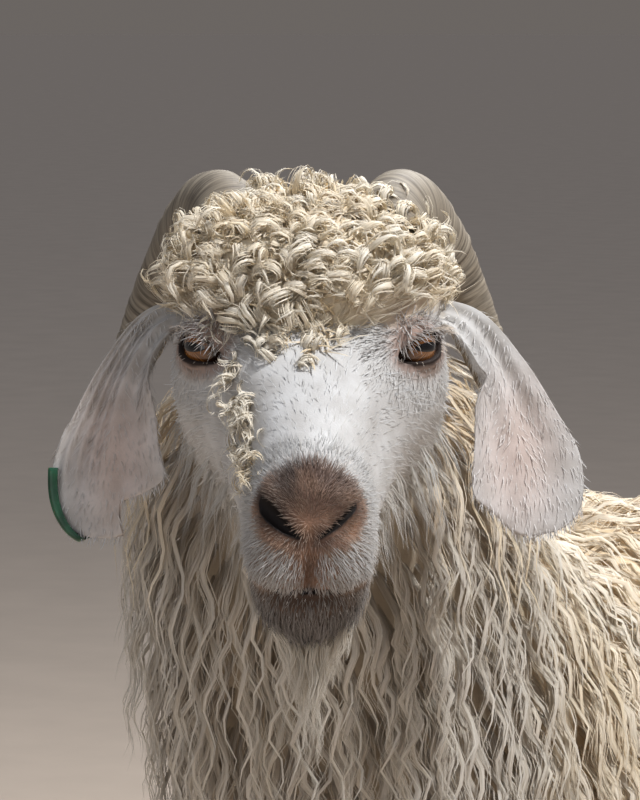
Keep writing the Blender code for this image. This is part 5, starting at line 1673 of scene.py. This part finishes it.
class GOAT_OT_topknot(bpy.types.Operator):
    """Make the curls of the topknot and the wavy strip beside the nose"""

    bl_idname = "goat.topknot"
    bl_label = "Topknot"

    def execute(self, context):
        rng = np.random.default_rng(SEED + 2)
        pale, gold, deep, _ = coat_colours()

        def keep(points, normals):
            out, ahead, up = to_head(points).T
            left, right = 0.104 - ahead - 1.1 * out, 0.112 - ahead + 0.25 * out
            edge = np.where(out > 0, left, right - 2.0 * np.clip(-out - 0.038, 0, 1))
            wide = soft(edge, -0.010, 0.006)
            brow = np.maximum(wide, soft(up, 0.062, 0.068))
            for sign in (1, -1):
                brow = brow * soft(almond_scale(points, sign), 2.4, 3.0)
            return brow * soft(up, 0.040, 0.044) * soft(ahead, -0.035, -0.02)

        roots, normals = GROUND["dome"].scatter(keep, 0.0084, rng)
        more, more_normals = GROUND["head"].scatter(keep, 0.0083, rng)
        outside = dome_depth(more) > 1
        roots, normals = np.vstack([roots, more[outside]]), np.vstack([normals, more_normals[outside]])
        local = to_head(roots)
        count = len(roots)
        fall = AHEAD * 0.5 - UP * 0.5 + LEFTWARD * (local[:, 0] / 0.05)[:, None] * 0.8
        back = soft(-local[:, 1], -0.01, 0.03)[:, None]
        fall = fall * (1 - back) + back * (-AHEAD * 0.8 - UP * 0.3)
        fall = fall + 0.55 * rng.standard_normal((count, 3))
        low = soft(0.056 - local[:, 2], 0, 0.01)
        radius = rng.uniform(0.0034, 0.0062, count) * (1 - 0.35 * low)
        paths, backs = curl_paths(
            roots, normals, unit(fall), radius, rng.uniform(1.2, 2.2, count),
            rng.uniform(0.016, 0.030, count) * (1 - 0.4 * low), rng,
        )
        strands = lock_strands(
            paths, backs, rng, 7, rng.uniform(0.0065, 0.0095, count), 0.00065, 14, ringlet=0.0, ragged=0.3,
            core=0.46,
        )
        tones = fleece_tones(strands["points"][:, 0], strands["lock"], rng, pale, gold, deep, 0.25, 0.15)
        MATERIALS["curls"] = mohair_material("mohair_kid_curls", 1.3, 0.42)
        strand_pieces("coat_topknot", strands, tones, unwrap_head, MATERIALS["curls"], "fleece")
        self.fluff(rng, pale, gold, deep)
        self.nose_strip(rng, pale, gold, deep)
        return {"FINISHED"}

    def fluff(self, rng, pale, gold, deep):
        """Soft short wool between the curls, and smooth longer hair on both sides of the brow."""

        def smooth_share(points):
            local = to_head(points)
            out, ahead, up = local[:, 0], local[:, 1], local[:, 2]
            left = soft(out + 0.8 * (ahead - 0.085), 0.022, 0.030)
            right = soft(0.8 * (ahead - 0.085) - out, 0.036, 0.044)
            return np.maximum(left, right) * (1 - soft(up, 0.064, 0.074)) * soft(ahead, 0.0, 0.02)

        def brow_keep(points, _):
            out, ahead, up = head_parts(to_head(points))
            front = (1 - soft(ahead + 1.1 * out, 0.112, 0.120)) * soft(up, 0.036, 0.040)
            for sign in (1, -1):
                front = front * soft(almond_scale(points, sign), 2.3, 2.8)
            return front * (0.35 + 0.65 * smooth_share(points))

        def dome_keep(points, _):
            return soft(to_head(points)[:, 2], 0.040, 0.044)

        roots, normals = GROUND["dome"].scatter(dome_keep, 0.0056, rng)
        more, more_normals = GROUND["dome"].scatter(brow_keep, 0.0040, rng)
        last, last_normals = GROUND["head"].scatter(brow_keep, 0.0040, rng)
        outside = dome_depth(last) > 1
        roots = np.vstack([roots, more, last[outside]])
        normals = np.vstack([normals, more_normals, last_normals[outside]])
        local = to_head(roots)
        smooth = smooth_share(roots)
        lies = AHEAD * 0.6 - UP * 0.2 + 1.6 * rng.standard_normal((len(roots), 3))
        swept = np.outer(np.sign(local[:, 0]), LEFTWARD) * 0.5 + UP * 0.25 - AHEAD * 0.1
        lies = lies * (1 - smooth[:, None]) + swept * smooth[:, None] * 3
        length = rng.uniform(0.010, 0.015, len(roots)) * (1 + 0.6 * smooth)
        rise, hair = 0.20 - 0.08 * smooth, 0.0015 - 0.0006 * smooth
        hairs = short_hairs(roots, normals, lies, length, rise, hair, rng, 5)
        share = rng.random(len(roots)) * (1 - smooth)
        tip = blended(pale, gold, share)
        # Roots drawn towards deep: partly warmer wool near the skin, partly painted shade deep in the wool
        root = blended(tip, deep, 0.35)
        strand_pieces("coat_topknot_fluff", hairs, (root, tip), unwrap_head, MATERIALS["curls"], "fleece")

    def nose_strip(self, rng, pale, gold, deep):
        """The strip of wavy locks that falls from the brow down the right side of the nose."""
        count = 110
        ahead = 0.074 + 0.094 * rng.random(count) ** 1.15
        angle = -(0.70 + 0.55 * (ahead - 0.086) / 0.064 * 0.5 + rng.normal(0, 0.12, count))
        near = placed(head_points(ahead, angle))
        clear = almond_scale(near, -1) > 1.7
        near, ahead, count = near[clear], ahead[clear], int(clear.sum())
        inner = placed(np.stack([np.zeros(count), ahead, np.full(count, -0.01)], axis=1))
        outward = unit(near - inner)
        fall = unit(AHEAD * 0.9 - UP * 0.5 + 0.25 * rng.standard_normal((count, 3)))
        paths, backs = curl_paths(
            near, outward, fall, rng.uniform(0.0018, 0.0036, count), rng.uniform(0.8, 1.6, count),
            rng.uniform(0.016, 0.030, count), rng,
        )
        strands = lock_strands(paths, backs, rng, 4, 0.0046, 0.0006, 12, ragged=0.3, core=0.3)
        tones = fleece_tones(strands["points"][:, 0], strands["lock"], rng, pale, gold, deep, 0.15, 0.15)
        strand_pieces("coat_nose_strip", strands, tones, unwrap_head, MATERIALS["curls"], "fleece")


def short_hairs(roots, normals, lies, lengths, rise, hair, rng, steps=4):
    """Single short hairs or small tufts that leave the skin at a low angle and lie over."""
    count = len(roots)
    hair = np.broadcast_to(hair, (count,))[:, None]
    lies = unit(lies - normals * (lies * normals).sum(axis=1)[:, None])
    lies = unit(lies + 0.16 * rng.standard_normal((count, 3)))
    share = np.linspace(0, 1, steps)[None, :, None]
    high = (lengths * rise)[:, None, None] * np.sin(math.pi * np.clip(share * 0.62, 0, 1))
    side = unit(np.cross(normals, lies)) * rng.normal(0, 0.10, (count, 1))
    lengths = lengths[:, None, None]
    points = roots[:, None] - normals[:, None] * ROOT_DEPTH * (1 - share) + lies[:, None] * lengths * share
    points = points + normals[:, None] * high + side[:, None] * lengths * share**2
    widths = hair * (0.75 + 0.5 * rng.random((count, 1))) * (1 - 0.55 * share[0, :, 0] ** 2)[None]
    return {"points": points, "backs": np.repeat(normals[:, None], steps, axis=1), "widths": widths}


def head_hair_keep(points, normals):
    """Where short hair grows on the head, and how densely."""
    local = to_head(points)
    _, ahead, up = head_parts(local)
    keep = soft(ahead, 0.004, 0.012) * (1 - soft(leather_share(local), 0.45, 0.75))
    keep = keep * (1 - 0.80 * lip_share(local)) * ((dome_depth(points) > 1.0) | (up < 0.040))
    for sign in (1, -1):
        keep = keep * soft(almond_scale(points, sign), 1.14, 1.22)
        keep = keep * soft(nostril_gap(local, sign), 0.0006, 0.0020)
    keep = keep * soft(near_path(local, MOUTH), 0.0022, 0.0034)
    outer = (normals * unit(points - from_head(0.0, np.minimum(ahead, 0.19), -0.008))).sum(axis=1)
    return keep * (outer > 0.1)


def head_hair(name, hairs, root, tip, **options):
    """Short hair of the head as one piece, or several, in colours from root to tip."""
    strand_pieces(name, hairs, (root, tip), unwrap_head, MATERIALS["hair"], "short_coat", **options)


def head_lies(local):
    """The lie of the face's hair: away from the nose on every side, drooping over the cheeks and jaw."""
    ahead, up = local[:, 1], local[:, 2]
    away = unit(local - (0.0, 0.210, 0.002)) @ HEAD_AXES
    droop = 0.15 + 0.55 * (1 - soft(ahead, 0.08, 0.15)) + 0.6 * soft(-up, 0.02, 0.06)
    return away - UP * droop[:, None]


class GOAT_OT_face(bpy.types.Operator):
    """Make the short hair of the face, the beard, the lashes and the brows"""

    bl_idname = "goat.face"
    bl_label = "Face hair"

    def execute(self, context):
        rng = np.random.default_rng(SEED + 3)
        pale, gold, _, white = coat_colours()
        MATERIALS["hair"] = mohair_material("short_guard_hair", 0.7, 0.5, 0.06)
        self.face(rng, white)
        self.round_eyes(rng, white)
        self.muzzle(rng, white)
        self.jaw(rng, white, pale)
        self.beard(rng, pale, gold)
        self.lashes(rng)
        self.pad(rng)
        return {"FINISHED"}

    def pad(self, rng):
        """The nose's own fuzz: very short dark hair, paler on its lower half."""

        def keep(points, normals):
            local = to_head(points)
            open_nose = np.ones(len(points))
            for sign in (1, -1):
                open_nose *= soft(nostril_gap(local, sign), 0.0004, 0.0016)
            return soft(leather_share(local), 0.10, 0.35) * open_nose * (normals @ AHEAD > 0.0)

        roots, normals = GROUND["head"].scatter(keep, 0.00098, rng)
        local = to_head(roots)
        high = soft(local[:, 2], 0.008, 0.024)
        length = rng.uniform(0.0022, 0.0040, len(roots)) * (1 + 0.9 * high)
        hairs = short_hairs(roots, normals, head_lies(local), length, 0.34, 0.00032, rng, 3)
        # The fuzz takes the skin's colours, with the painted side shade on the pad
        skin_tone, _ = hide_colours(roots)
        tip = skin_tone * rng.uniform(0.6, 1.5, (len(roots), 1)) + 0.02
        tip = blended(tip, linear("C9B9A8"), 0.40 * (1 - high) * rng.random(len(roots)))
        head_hair("coat_nose", hairs, skin_tone * 0.8, tip)

    def face(self, rng, white):
        """Short hair all over the head, longest on the cheeks and jaw."""
        roots, normals = GROUND["head"].scatter(head_hair_keep, 0.00270, rng)
        local = to_head(roots)
        _, ahead, up = head_parts(local)
        jaw = soft(-up, 0.02, 0.05) * (1 - soft(ahead, 0.13, 0.18))
        length = 0.0065 + 0.0040 * (1 - soft(ahead, 0.09, 0.16)) + 0.014 * jaw
        length = length - 0.0030 * soft(ahead, 0.16, 0.20) * (1 - soft(-up, 0.045, 0.055))
        length = length + 0.009 * soft(ahead, 0.16, 0.18) * soft(-up, 0.048, 0.058)
        for sign in (1, -1):
            length = length * (0.45 + 0.55 * soft(almond_scale(roots, sign), 1.3, 2.6))
        length = length * rng.uniform(0.75, 1.25, len(roots))
        lies = head_lies(local)
        for sign in (1, -1):
            near = 1 - soft(almond_scale(roots, sign), 1.5, 2.6)
            lies = lies * (1 - near)[:, None] + unit(roots - eye_centre(sign)) * near[:, None]
        hairs = short_hairs(roots, normals, lies, length, 0.05, 0.00050 + 0.0005 * jaw, rng, 3)
        tip = tinted(white, len(roots), 0.92, 1.04, rng)
        skin_tone, _ = hide_colours(roots)
        root = blended(tip, skin_tone, 0.18)
        tip = blended(tip, skin_tone, 0.08)
        head_hair("coat_face", hairs, root, tip, flat=0.16, lean=0.3)

    def muzzle(self, rng, white):
        """Fine pale hair with dark roots that radiates from the nose over the lips and chin."""

        def keep(points, normals):
            out, ahead, _ = head_parts(to_head(points))
            return head_hair_keep(points, normals) * soft(ahead + 0.3 * out, 0.176, 0.196)

        roots, normals = GROUND["head"].scatter(keep, 0.00118, rng)
        local = to_head(roots)
        out, _, up = head_parts(local)
        chin = soft(-up, 0.034, 0.050)
        lip = soft(out, 0.004, 0.009) * soft(up, -0.026, -0.022)
        length = (0.0050 + 0.0022 * lip + 0.0085 * chin) * rng.uniform(0.7, 1.25, len(roots))
        lies = head_lies(local) * (1 - chin[:, None]) + (FACING * 0.25 - UP) * chin[:, None]
        hairs = short_hairs(roots, normals, lies, length, 0.20, 0.00042, rng, 3)
        # The hair takes its colours partly from the skin, with the painted shade under the muzzle
        skin_tone, _ = hide_colours(roots)
        tip = tinted(white, len(roots), 0.80, 1.02, rng)
        dark = 0.40 - 0.32 * lip + 0.55 * soft(-up, 0.027, 0.032) + 0.4 * rng.random(len(roots))
        root = blended(tip, skin_tone * 0.6, dark + 0.2)
        head_hair("coat_muzzle", hairs, root, blended(tip, skin_tone, dark * 0.5), lean=0.4)

    def jaw(self, rng, white, pale):
        """Long fine locks that hang from the cheeks and the jaw."""

        def keep(points, normals):
            out, ahead, up = head_parts(to_head(points))
            low = soft(-up, 0.012, 0.030) * soft(out, 0.010, 0.022)
            return low * soft(ahead, 0.0, 0.015) * (1 - soft(ahead, 0.125, 0.150))

        roots, normals = GROUND["head"].scatter(keep, 0.0098, rng)
        local = to_head(roots)
        count = len(roots)
        ways = unit(normals * 0.45 - UP * 0.9 - AHEAD * 0.25 + 0.14 * rng.standard_normal((count, 3)))
        lengths = rng.uniform(0.020, 0.042, count) * (1 - 0.35 * soft(local[:, 1], 0.08, 0.15))
        hand_locks(
            "coat_jaw", roots - normals * 0.002, ways, normals, lengths, rng, 0.25, 5, 0.0060, 0.0005, 8,
            (white, white, pale), unwrap_head, MATERIALS["curls"], wave=0.0016, wavelength=0.030, core=0.16,
            ragged=0.5,
        )

    def round_eyes(self, rng, white):
        """Close hair round the eyes, and longer dark-rooted brow hair that fans up over each of them."""

        def keep(points, _):
            near = np.minimum(almond_scale(points, 1), almond_scale(points, -1))
            bare = (dome_depth(points) < 1.0) & (to_head(points)[:, 2] > 0.040)
            return soft(near, 1.12, 1.18) * (1 - soft(near, 2.6, 3.4)) * ~bare

        roots, normals = GROUND["head"].scatter(keep, 0.00172, rng)
        near = np.minimum(almond_scale(roots, 1), almond_scale(roots, -1))
        sign = np.where(to_head(roots)[:, 0] > 0, 1, -1)
        off = np.where(sign[:, None] > 0, eye_local(roots, 1), eye_local(roots, -1))
        rays = np.where(sign[:, None] > 0, roots - eye_centre(1), roots - eye_centre(-1))
        look = np.where(sign[:, None] > 0, gaze(1)[0], gaze(-1)[0])
        upper = soft(off[:, 1], 0.002, 0.008)
        lies = unit(rays) + look * 0.1 - UP * (0.4 * (1 - upper))[:, None]
        length = 0.0042 + 0.0062 * upper * (1 - soft(near, 2.0, 3.2))
        length = length * rng.uniform(0.75, 1.2, len(roots))
        hairs = short_hairs(roots, normals, lies, length, 0.18 + 0.08 * upper, 0.00042, rng, 4)
        tip = tinted(white, len(roots), 0.88, 1.02, rng)
        dark = (1 - soft(near, 1.15, 2.1)) * (0.45 + 0.5 * rng.random(len(roots)))
        dark = dark + 0.45 * upper * (rng.random(len(roots)) < 0.35)
        root = blended(tip, linear("7A675C"), np.clip(dark + 0.15, 0, 0.9))
        tip = blended(tip, linear("8A786C"), np.clip(dark * 0.45, 0, 0.6))
        head_hair("coat_brows", hairs, root, tip, lean=0.35)

    def beard(self, rng, pale, gold):
        """A thin beard: wisps from under the chin that draw together and hang to a point."""
        count = 96
        out = np.clip(rng.normal(0, 0.0095, count), -0.019, 0.019)
        ahead = rng.uniform(0.160, 0.204, count)
        roots = from_head(out, ahead, -0.0560 + 0.25 * np.abs(out))
        inward = -LEFTWARD * (out * 9)[:, None]
        ways = unit(-UP - FACING * 0.12 + inward + 0.05 * rng.standard_normal((count, 3)))
        lengths = rng.uniform(0.030, 0.078, count) * (1 - 0.65 * np.abs(out) / 0.02)
        backs = unit(FACING + LEFTWARD * (out * 30)[:, None])
        hand_locks(
            "coat_beard", roots, ways, backs, lengths, rng, 0.05, 6, 0.0044, 0.0006, 10,
            (pale, pale, gold), unwrap_head, MATERIALS["curls"], wave=0.0016, wavelength=0.028, core=0.22,
        )

    def lashes(self, rng):
        """Pale lashes along the upper lid, longest at its outer half, and short ones below."""
        points, backs, widths = [], [], []
        for sign in (1, -1):
            look, long, short = gaze(sign)
            centre = eye_centre(sign)
            for upper, count, longest in ((1, 54, 0.0125), (-1, 16, 0.0040)):
                turns = upper * (0.15 + 2.3 * rng.random(count) ** 1.4)
                wide, tall = almond(turns, 1.05)
                high = np.sqrt(np.maximum((EYE_RADIUS + 0.0026) ** 2 - wide**2 - tall**2, 1e-6))
                root = centre + np.outer(wide, long) + np.outer(tall, short) + np.outer(high, look)
                size = longest * (0.55 + 0.45 * np.cos(turns)) * rng.uniform(0.7, 1.15, count)
                way = look * 0.55 + short * upper * 0.50 + long * 0.25
                way = unit(way + np.outer(np.cos(turns), long) * 0.35)
                way = unit(way + 0.09 * rng.standard_normal((count, 3)))
                share = np.linspace(0, 1, 6)[None, :, None]
                droop = -UP if upper > 0 else -short
                path = root[:, None] + way[:, None] * size[:, None, None] * share
                path = path + droop * size[:, None, None] * (0.55 if upper > 0 else 0.2) * share**2
                points.append(path)
                backs.append(np.broadcast_to(short, path.shape))
                widths.append(np.full((count, 6), 0.00030) * (1 - 0.5 * np.linspace(0, 1, 6)))
        hairs = {"points": np.vstack(points), "backs": np.vstack(backs), "widths": np.vstack(widths)}
        count = len(hairs["points"])
        tone = tinted(linear("CDBEAF"), count, 0.7, 1.1, rng)
        head_hair("lashes", hairs, tone * 0.6, tone, flat=0.9)


class GOAT_OT_ear_hair(bpy.types.Operator):
    """Make the short hair of the ears, with a soft fringe on their margins"""

    bl_idname = "goat.ear_hair"
    bl_label = "Ear hair"

    def execute(self, context):
        rng = np.random.default_rng(SEED + 4)
        white = coat_colours()[3]
        for sign, side_name in SIDES:
            surface = GROUND["ear"][sign]
            roots, normals = surface.scatter(lambda points, _: np.ones(len(points)), 0.0021, rng)
            outside = np.array([GROUND["head"].nearest(root)[2] > 0.0005 for root in roots])
            roots, normals = roots[outside], normals[outside]
            centre = from_eyes((0.101 + EAR_SHIFT[sign] * 0.6) * sign, -0.050, 0.03)
            off = roots - centre
            flat = np.abs(normals @ FACING)
            lies = -UP + unit(off) * 0.5
            rim = 1 - soft(flat, 0.35, 0.75)
            length = (0.0058 + 0.0030 * rim) * rng.uniform(0.7, 1.3, len(roots))
            hairs = short_hairs(roots, normals, lies, length, 0.05 + 0.05 * rim, 0.00052, rng, 3)
            tip = tinted(white, len(roots), 0.94, 1.04, rng)
            pink = ear_pink(roots, sign) * ((normals @ FACING) > 0)
            root = blended(tip, linear("DCC2B5"), 0.12 + 0.40 * pink)
            tip = blended(tip, linear("DCC2B5"), 0.22 * pink)
            strand_piece(
                f"coat_ear_{side_name}", hairs, (root, tip), unwrap_ear(sign), MATERIALS["hair"],
                "short_coat", flat=0.14, lean=0.25,
            )
        return {"FINISHED"}


class GOAT_OT_shank_hair(bpy.types.Operator):
    """Make the short hair of the lower legs"""

    bl_idname = "goat.shank_hair"
    bl_label = "Shank hair"

    def execute(self, context):
        rng = np.random.default_rng(SEED + 5)
        pale = coat_colours()[0]

        def keep(points, _):
            return (1 - soft(points[:, 2], 0.25, 0.27)) * soft(points[:, 2], 0.040, 0.044)

        roots, normals = GROUND["body"].scatter(keep, 0.0078, rng)
        low = 1 - soft(roots[:, 2], 0.04, 0.075)
        length = (0.015 + 0.006 * low) * rng.uniform(0.7, 1.25, len(roots))
        lies = np.repeat(-UP[None], len(roots), axis=0)
        hairs = short_hairs(roots, normals, lies, length, 0.20, 0.0021, rng, 3)
        tip = tinted(pale * 0.95, len(roots), 0.85, 1.05, rng)
        tip = blended(tip, linear("A08C74"), 0.45 * low * rng.random(len(roots)))
        fore, hind = unwrap_tube(leg_tube("fore", 1), 2, 2), unwrap_tube(leg_tube("hind", 1), 3, 2)

        def unwrap(points):
            mirrored = points * np.where(points[:, :1] < 0, -1, 1) ** np.array([1, 0, 0])
            return np.where(points[:, 1:2] < 0.1, fore(mirrored), hind(mirrored))

        strand_pieces("coat_shanks", hairs, (tip * 0.8, tip), unwrap, MATERIALS["hair"], "short_coat")
        return {"FINISHED"}


class GOAT_OT_horns(bpy.types.Operator):
    """Make the two horns with their growth rings"""

    bl_idname = "goat.horns"
    bl_label = "Horns"

    def execute(self, context):
        rng = np.random.default_rng(SEED + 6)
        material = horn_material()
        for sign, side_name in SIDES:
            rows = np.asarray(HORN_SECTIONS, float)
            centres = from_eyes(rows[:, 0] * sign, rows[:, 1], rows[:, 2])
            sections = np.column_stack([centres, rows[:, 3] * 0.92, rows[:, 3] * 1.08])
            tube = Tube(sections, side=LEFTWARD * sign)
            steps, sides = 300, 64
            places = np.linspace(0, 0.995, steps)
            turns = full_turn(sides)
            marks = np.sort(rng.uniform(0.02, 0.8, 34))
            ridge = np.zeros(steps)
            for mark in marks:
                ridge += rng.uniform(0.00030, 0.00090) * np.exp(-(((places - mark) / 0.0065) ** 2))
            ridge -= 0.00035 * (1 - places)
            rings = []
            for place, height in zip(places, ridge):
                slant = 0.010 * np.cos(turns)
                keel = 0.0008 * np.clip(np.cos(turns), 0, 1) ** 3 * (1 - place)
                outward = unit(tube.points(np.full(sides, place), turns) - tube.frame(place)[0][0, :3])
                ring = tube.points(place + slant * (0.02 < place < 0.97), turns)
                rings.append(ring + outward * (height * (1 - 0.8 * place) + keel)[:, None])
            horn = closed_grid(f"horn_sheath_{side_name}", rings)
            growth = np.zeros((steps * sides + 2, 3))
            growth[: steps * sides, 0] = np.repeat(places, sides) * tube.length
            growth[: steps * sides, 1] = np.tile(np.sin(turns), steps)
            growth[-1, 0] = tube.length
            growth[:, 2] = sign * 3.0
            set_vectors(horn.data, "growth", growth)
            dress(horn, material, [f"horn_{side_name}"])
        return {"FINISHED"}


class GOAT_OT_eyes(bpy.types.Operator):
    """Make the two eyeballs with their amber irises"""

    bl_idname = "goat.eyes"
    bl_label = "Eyes"

    def execute(self, context):
        material = eye_material()
        for sign, side_name in SIDES:
            eye = fine_ball(f"eyeball_{side_name}", eye_centre(sign), EYE_RADIUS, 96, 64)
            points = coordinates(eye.data)
            local = eye_local(points, sign)
            bulge = np.exp(-((local[:, 0] ** 2 + local[:, 1] ** 2) / 0.0070**2)) * (local[:, 2] > 0) * 0.0004
            move_points(eye.data, points + np.outer(bulge, gaze(sign)[0]))
            # The pupil stays level with the ground as a goat's does, not with the slant of its lids
            tilt = math.radians(-14)
            across = local[:, 0] * math.cos(tilt) + local[:, 1] * math.sin(tilt)
            upward = -local[:, 0] * math.sin(tilt) + local[:, 1] * math.cos(tilt)
            iris = np.stack([across, upward, local[:, 2]], axis=1) / EYE_RADIUS
            iris[local[:, 2] < 0, :2] = 2.0
            set_vectors(eye.data, "iris", iris)
            dress(eye, material, [f"eye_{side_name}"])
        return {"FINISHED"}


def claw_rings(centre_x, centre_y, side):
    """One rounded half of a cloven hoof, from its flat sole up to the coronet."""
    closed = np.array(CLAW_OUTLINE + CLAW_OUTLINE[:1])
    knots = np.linspace(0, 1, len(closed))
    rows = np.vstack([closed[-2:-1], closed, closed[1:2]])
    spread = np.concatenate([[-knots[1]], knots, [1 + knots[1]]])
    dense = smooth_rows(spread, rows, np.linspace(0, 1, 41)[:-1])
    rings = []
    for level in np.linspace(0, 1, 14):
        scale = 1.0 - 0.20 * level**1.3
        bead = 0.045 * math.exp(-(((level - 0.93) / 0.06) ** 2)) - 0.03 * (level < 0.04)
        back = 0.26 * level
        middle = centre_x + side * (CLAW_WIDTH / 2 + 0.0008)
        x = middle + side * dense[:, 0] * CLAW_WIDTH * (0.5 + scale / 2 + bead)
        y = centre_y - (dense[:, 1] * (scale + bead) - back * 0.5) * HOOF_LENGTH
        z = HOOF_HEIGHT * (level - 0.25 * level * (dense[:, 1] < 0))
        rings.append(np.stack([x, y, z], axis=1))
    return rings


class GOAT_OT_hooves(bpy.types.Operator):
    """Make the eight claws of the hooves and the dewclaws"""

    bl_idname = "goat.hooves"
    bl_label = "Hooves"

    def execute(self, context):
        material = hoof_material()
        claws, dewclaws = [], []
        for which, sign in LEGS:
            tube = leg_tube(which, sign)
            coronet = tube.rows[-1]
            for outer in (1, -1):
                claws.append(closed_grid("claw", claw_rings(coronet[0], coronet[1], sign * outer)))
                place = tube.points([0.93], [outer * 0.5])[0]
                dewclaws.append(fine_ball("dewclaw", place - UP * 0.002, 0.0062, 20, 12))
        for name, parts, replaced in (("hooves", claws, CLAWS), ("dewclaws", dewclaws, ())):
            piece = joined(name, parts)
            dress(piece, material, replaced)
        return {"FINISHED"}


def joined(name, parts):
    """Objects as one object."""
    shape = bmesh.new()
    for part in parts:
        shape.from_mesh(part.data)
    remove(parts)
    return finished(name, shape)


class GOAT_OT_tag(bpy.types.Operator):
    """Make the strip tag folded over the right ear's outer margin"""

    bl_idname = "goat.tag"
    bl_label = "Ear tag"

    def execute(self, context):
        half = EAR_THICKNESS / 2 * 1.3 + 0.0005
        fold = ((0.52, -half), (0.80, -half), (0.98, -half), (1.025, 0.0), (0.98, half), (0.90, half))
        fold = smooth_rows(np.linspace(0, 1, len(fold)), fold, np.linspace(0, 1, 36))
        rings = []
        for along in np.linspace(TAG_ALONG[0], TAG_ALONG[1], 40):
            end = min(along - TAG_ALONG[0], TAG_ALONG[1] - along) / (TAG_ALONG[1] - TAG_ALONG[0])
            thick = 0.0014 * (0.55 + 0.45 * float(soft(end, 0, 0.05)))
            outer = fold[::-1].copy()
            outer[:, 0] += 0.055 * soft(outer[:, 0], 0.90, 1.0)
            outer[:, 1] += np.where(np.abs(outer[:, 1]) > half * 0.4, np.sign(outer[:, 1]) * thick, 0.0)
            ring = np.vstack([fold, outer])
            rings.append(ear_points(-1, np.full(len(ring), along), ring[:, 0], ring[:, 1]))
        tag = closed_grid("strip_tag", rings)
        dress(tag, tag_material(), ["ear_tag"])
        return {"FINISHED"}


class GOAT_OT_stage(bpy.types.Operator):
    """Set the floor, the lights and the camera"""

    bl_idname = "goat.stage"
    bl_label = "Stage"

    def execute(self, context):
        look = context.scene.goat_stage
        shape = bmesh.new()
        bmesh.ops.create_circle(shape, cap_ends=True, segments=128, radius=FLOOR_RADIUS)
        floor = finished("floor", shape)
        floor.data.materials.append(floor_material())
        world = context.scene.world or bpy.data.worlds.new("studio")
        context.scene.world = world
        world.use_nodes = True
        tree = world.node_tree
        background = tree.nodes["Background"]
        direction = add_node(tree, "ShaderNodeTexCoord").outputs["Generated"]
        height = add_node(tree, "ShaderNodeSeparateXYZ", Vector=direction).outputs["Z"]
        tones = [(0.06, linear("7E7874")), (0.40, linear("8D8D91")), (0.85, linear("BCC4D2"))]
        sky = add_node(tree, "ShaderNodeValToRGB", Fac=height, stops=tones)
        tree.links.new(sky.outputs["Color"], background.inputs["Color"])
        background.inputs["Strength"].default_value = 0.70
        eyes = EYES_MIDDLE + SHIFT
        level = np.array([math.sin(CAMERA_TURN), -math.cos(CAMERA_TURN), 0.0])
        back = level * math.cos(CAMERA_RISE) + UP * math.sin(CAMERA_RISE)
        right = np.array([math.cos(CAMERA_TURN), math.sin(CAMERA_TURN), 0.0])
        above = np.cross(back, right)
        for name, place, size, power in (
            ("key", eyes + back * 0.9 + right * 1.8 + UP * 3.2, 0.45, look.light),
            ("fill", eyes + back * 2.4 - right * 1.6 + UP * 0.5, 2.0, look.light * 0.06),
            ("rim", eyes - back * 1.8 + right * 0.8 + UP * 2.0, 1.4, look.light * 0.30),
        ):
            lamp = bpy.data.lights.new(name, "AREA")
            lamp.shape, lamp.size, lamp.energy = "DISK", size, power
            made = bpy.data.objects.new(name, lamp)
            made.location = place
            made.rotation_euler = (Vector(eyes) - Vector(place)).to_track_quat("-Z", "Y").to_euler()
            context.scene.collection.objects.link(made)
        camera = bpy.data.cameras.new("camera")
        camera.lens, camera.sensor_width = LENS, SENSOR
        target = eyes + right * PICTURE_RIGHT * PIXEL - above * PICTURE_DOWN * PIXEL
        made = bpy.data.objects.new("camera", camera)
        made.location = target + back * look.distance
        made.rotation_euler = Vector(-back).to_track_quat("-Z", "Y").to_euler()
        context.scene.collection.objects.link(made)
        context.scene.camera = made
        context.scene.view_settings.view_transform = "Standard"
        return {"FINISHED"}


class GOAT_PT_panel(bpy.types.Panel):
    """The pieces of the goat, in the order they are made"""

    bl_label = "Angora goat"
    bl_idname = "GOAT_PT_panel"
    bl_space_type = "VIEW_3D"
    bl_region_type = "UI"
    bl_category = "Goat"

    def draw(self, context):
        for group in (context.scene.goat_coat, context.scene.goat_stage):
            for name in group.__annotations__:
                self.layout.prop(group, name)
        for operator in OPERATORS:
            self.layout.operator(operator.bl_idname)


OPERATORS = (
    GOAT_OT_stage,
    GOAT_OT_skin,
    GOAT_OT_fleece,
    GOAT_OT_topknot,
    GOAT_OT_tail,
    GOAT_OT_face,
    GOAT_OT_ear_hair,
    GOAT_OT_shank_hair,
    GOAT_OT_horns,
    GOAT_OT_eyes,
    GOAT_OT_hooves,
    GOAT_OT_tag,
)
CLASSES = (GoatCoat, GoatStage, *OPERATORS, GOAT_PT_panel)


def register():
    """Add the classes and their settings to Blender."""
    for each in CLASSES:
        bpy.utils.register_class(each)
    bpy.types.Scene.goat_coat = bpy.props.PointerProperty(type=GoatCoat)
    bpy.types.Scene.goat_stage = bpy.props.PointerProperty(type=GoatStage)


def unregister():
    """Take the classes and their settings out of Blender."""
    del bpy.types.Scene.goat_coat
    del bpy.types.Scene.goat_stage
    for each in reversed(CLASSES):
        bpy.utils.unregister_class(each)


def main():
    """Make every piece in order."""
    register()
    bpy.ops.goat.stage()
    bpy.ops.goat.skin()
    bpy.ops.goat.fleece()
    bpy.ops.goat.topknot()
    bpy.ops.goat.tail()
    bpy.ops.goat.face()
    bpy.ops.goat.ear_hair()
    bpy.ops.goat.shank_hair()
    bpy.ops.goat.horns()
    bpy.ops.goat.eyes()
    bpy.ops.goat.hooves()
    bpy.ops.goat.tag()


if __name__ == "__main__":
    main()
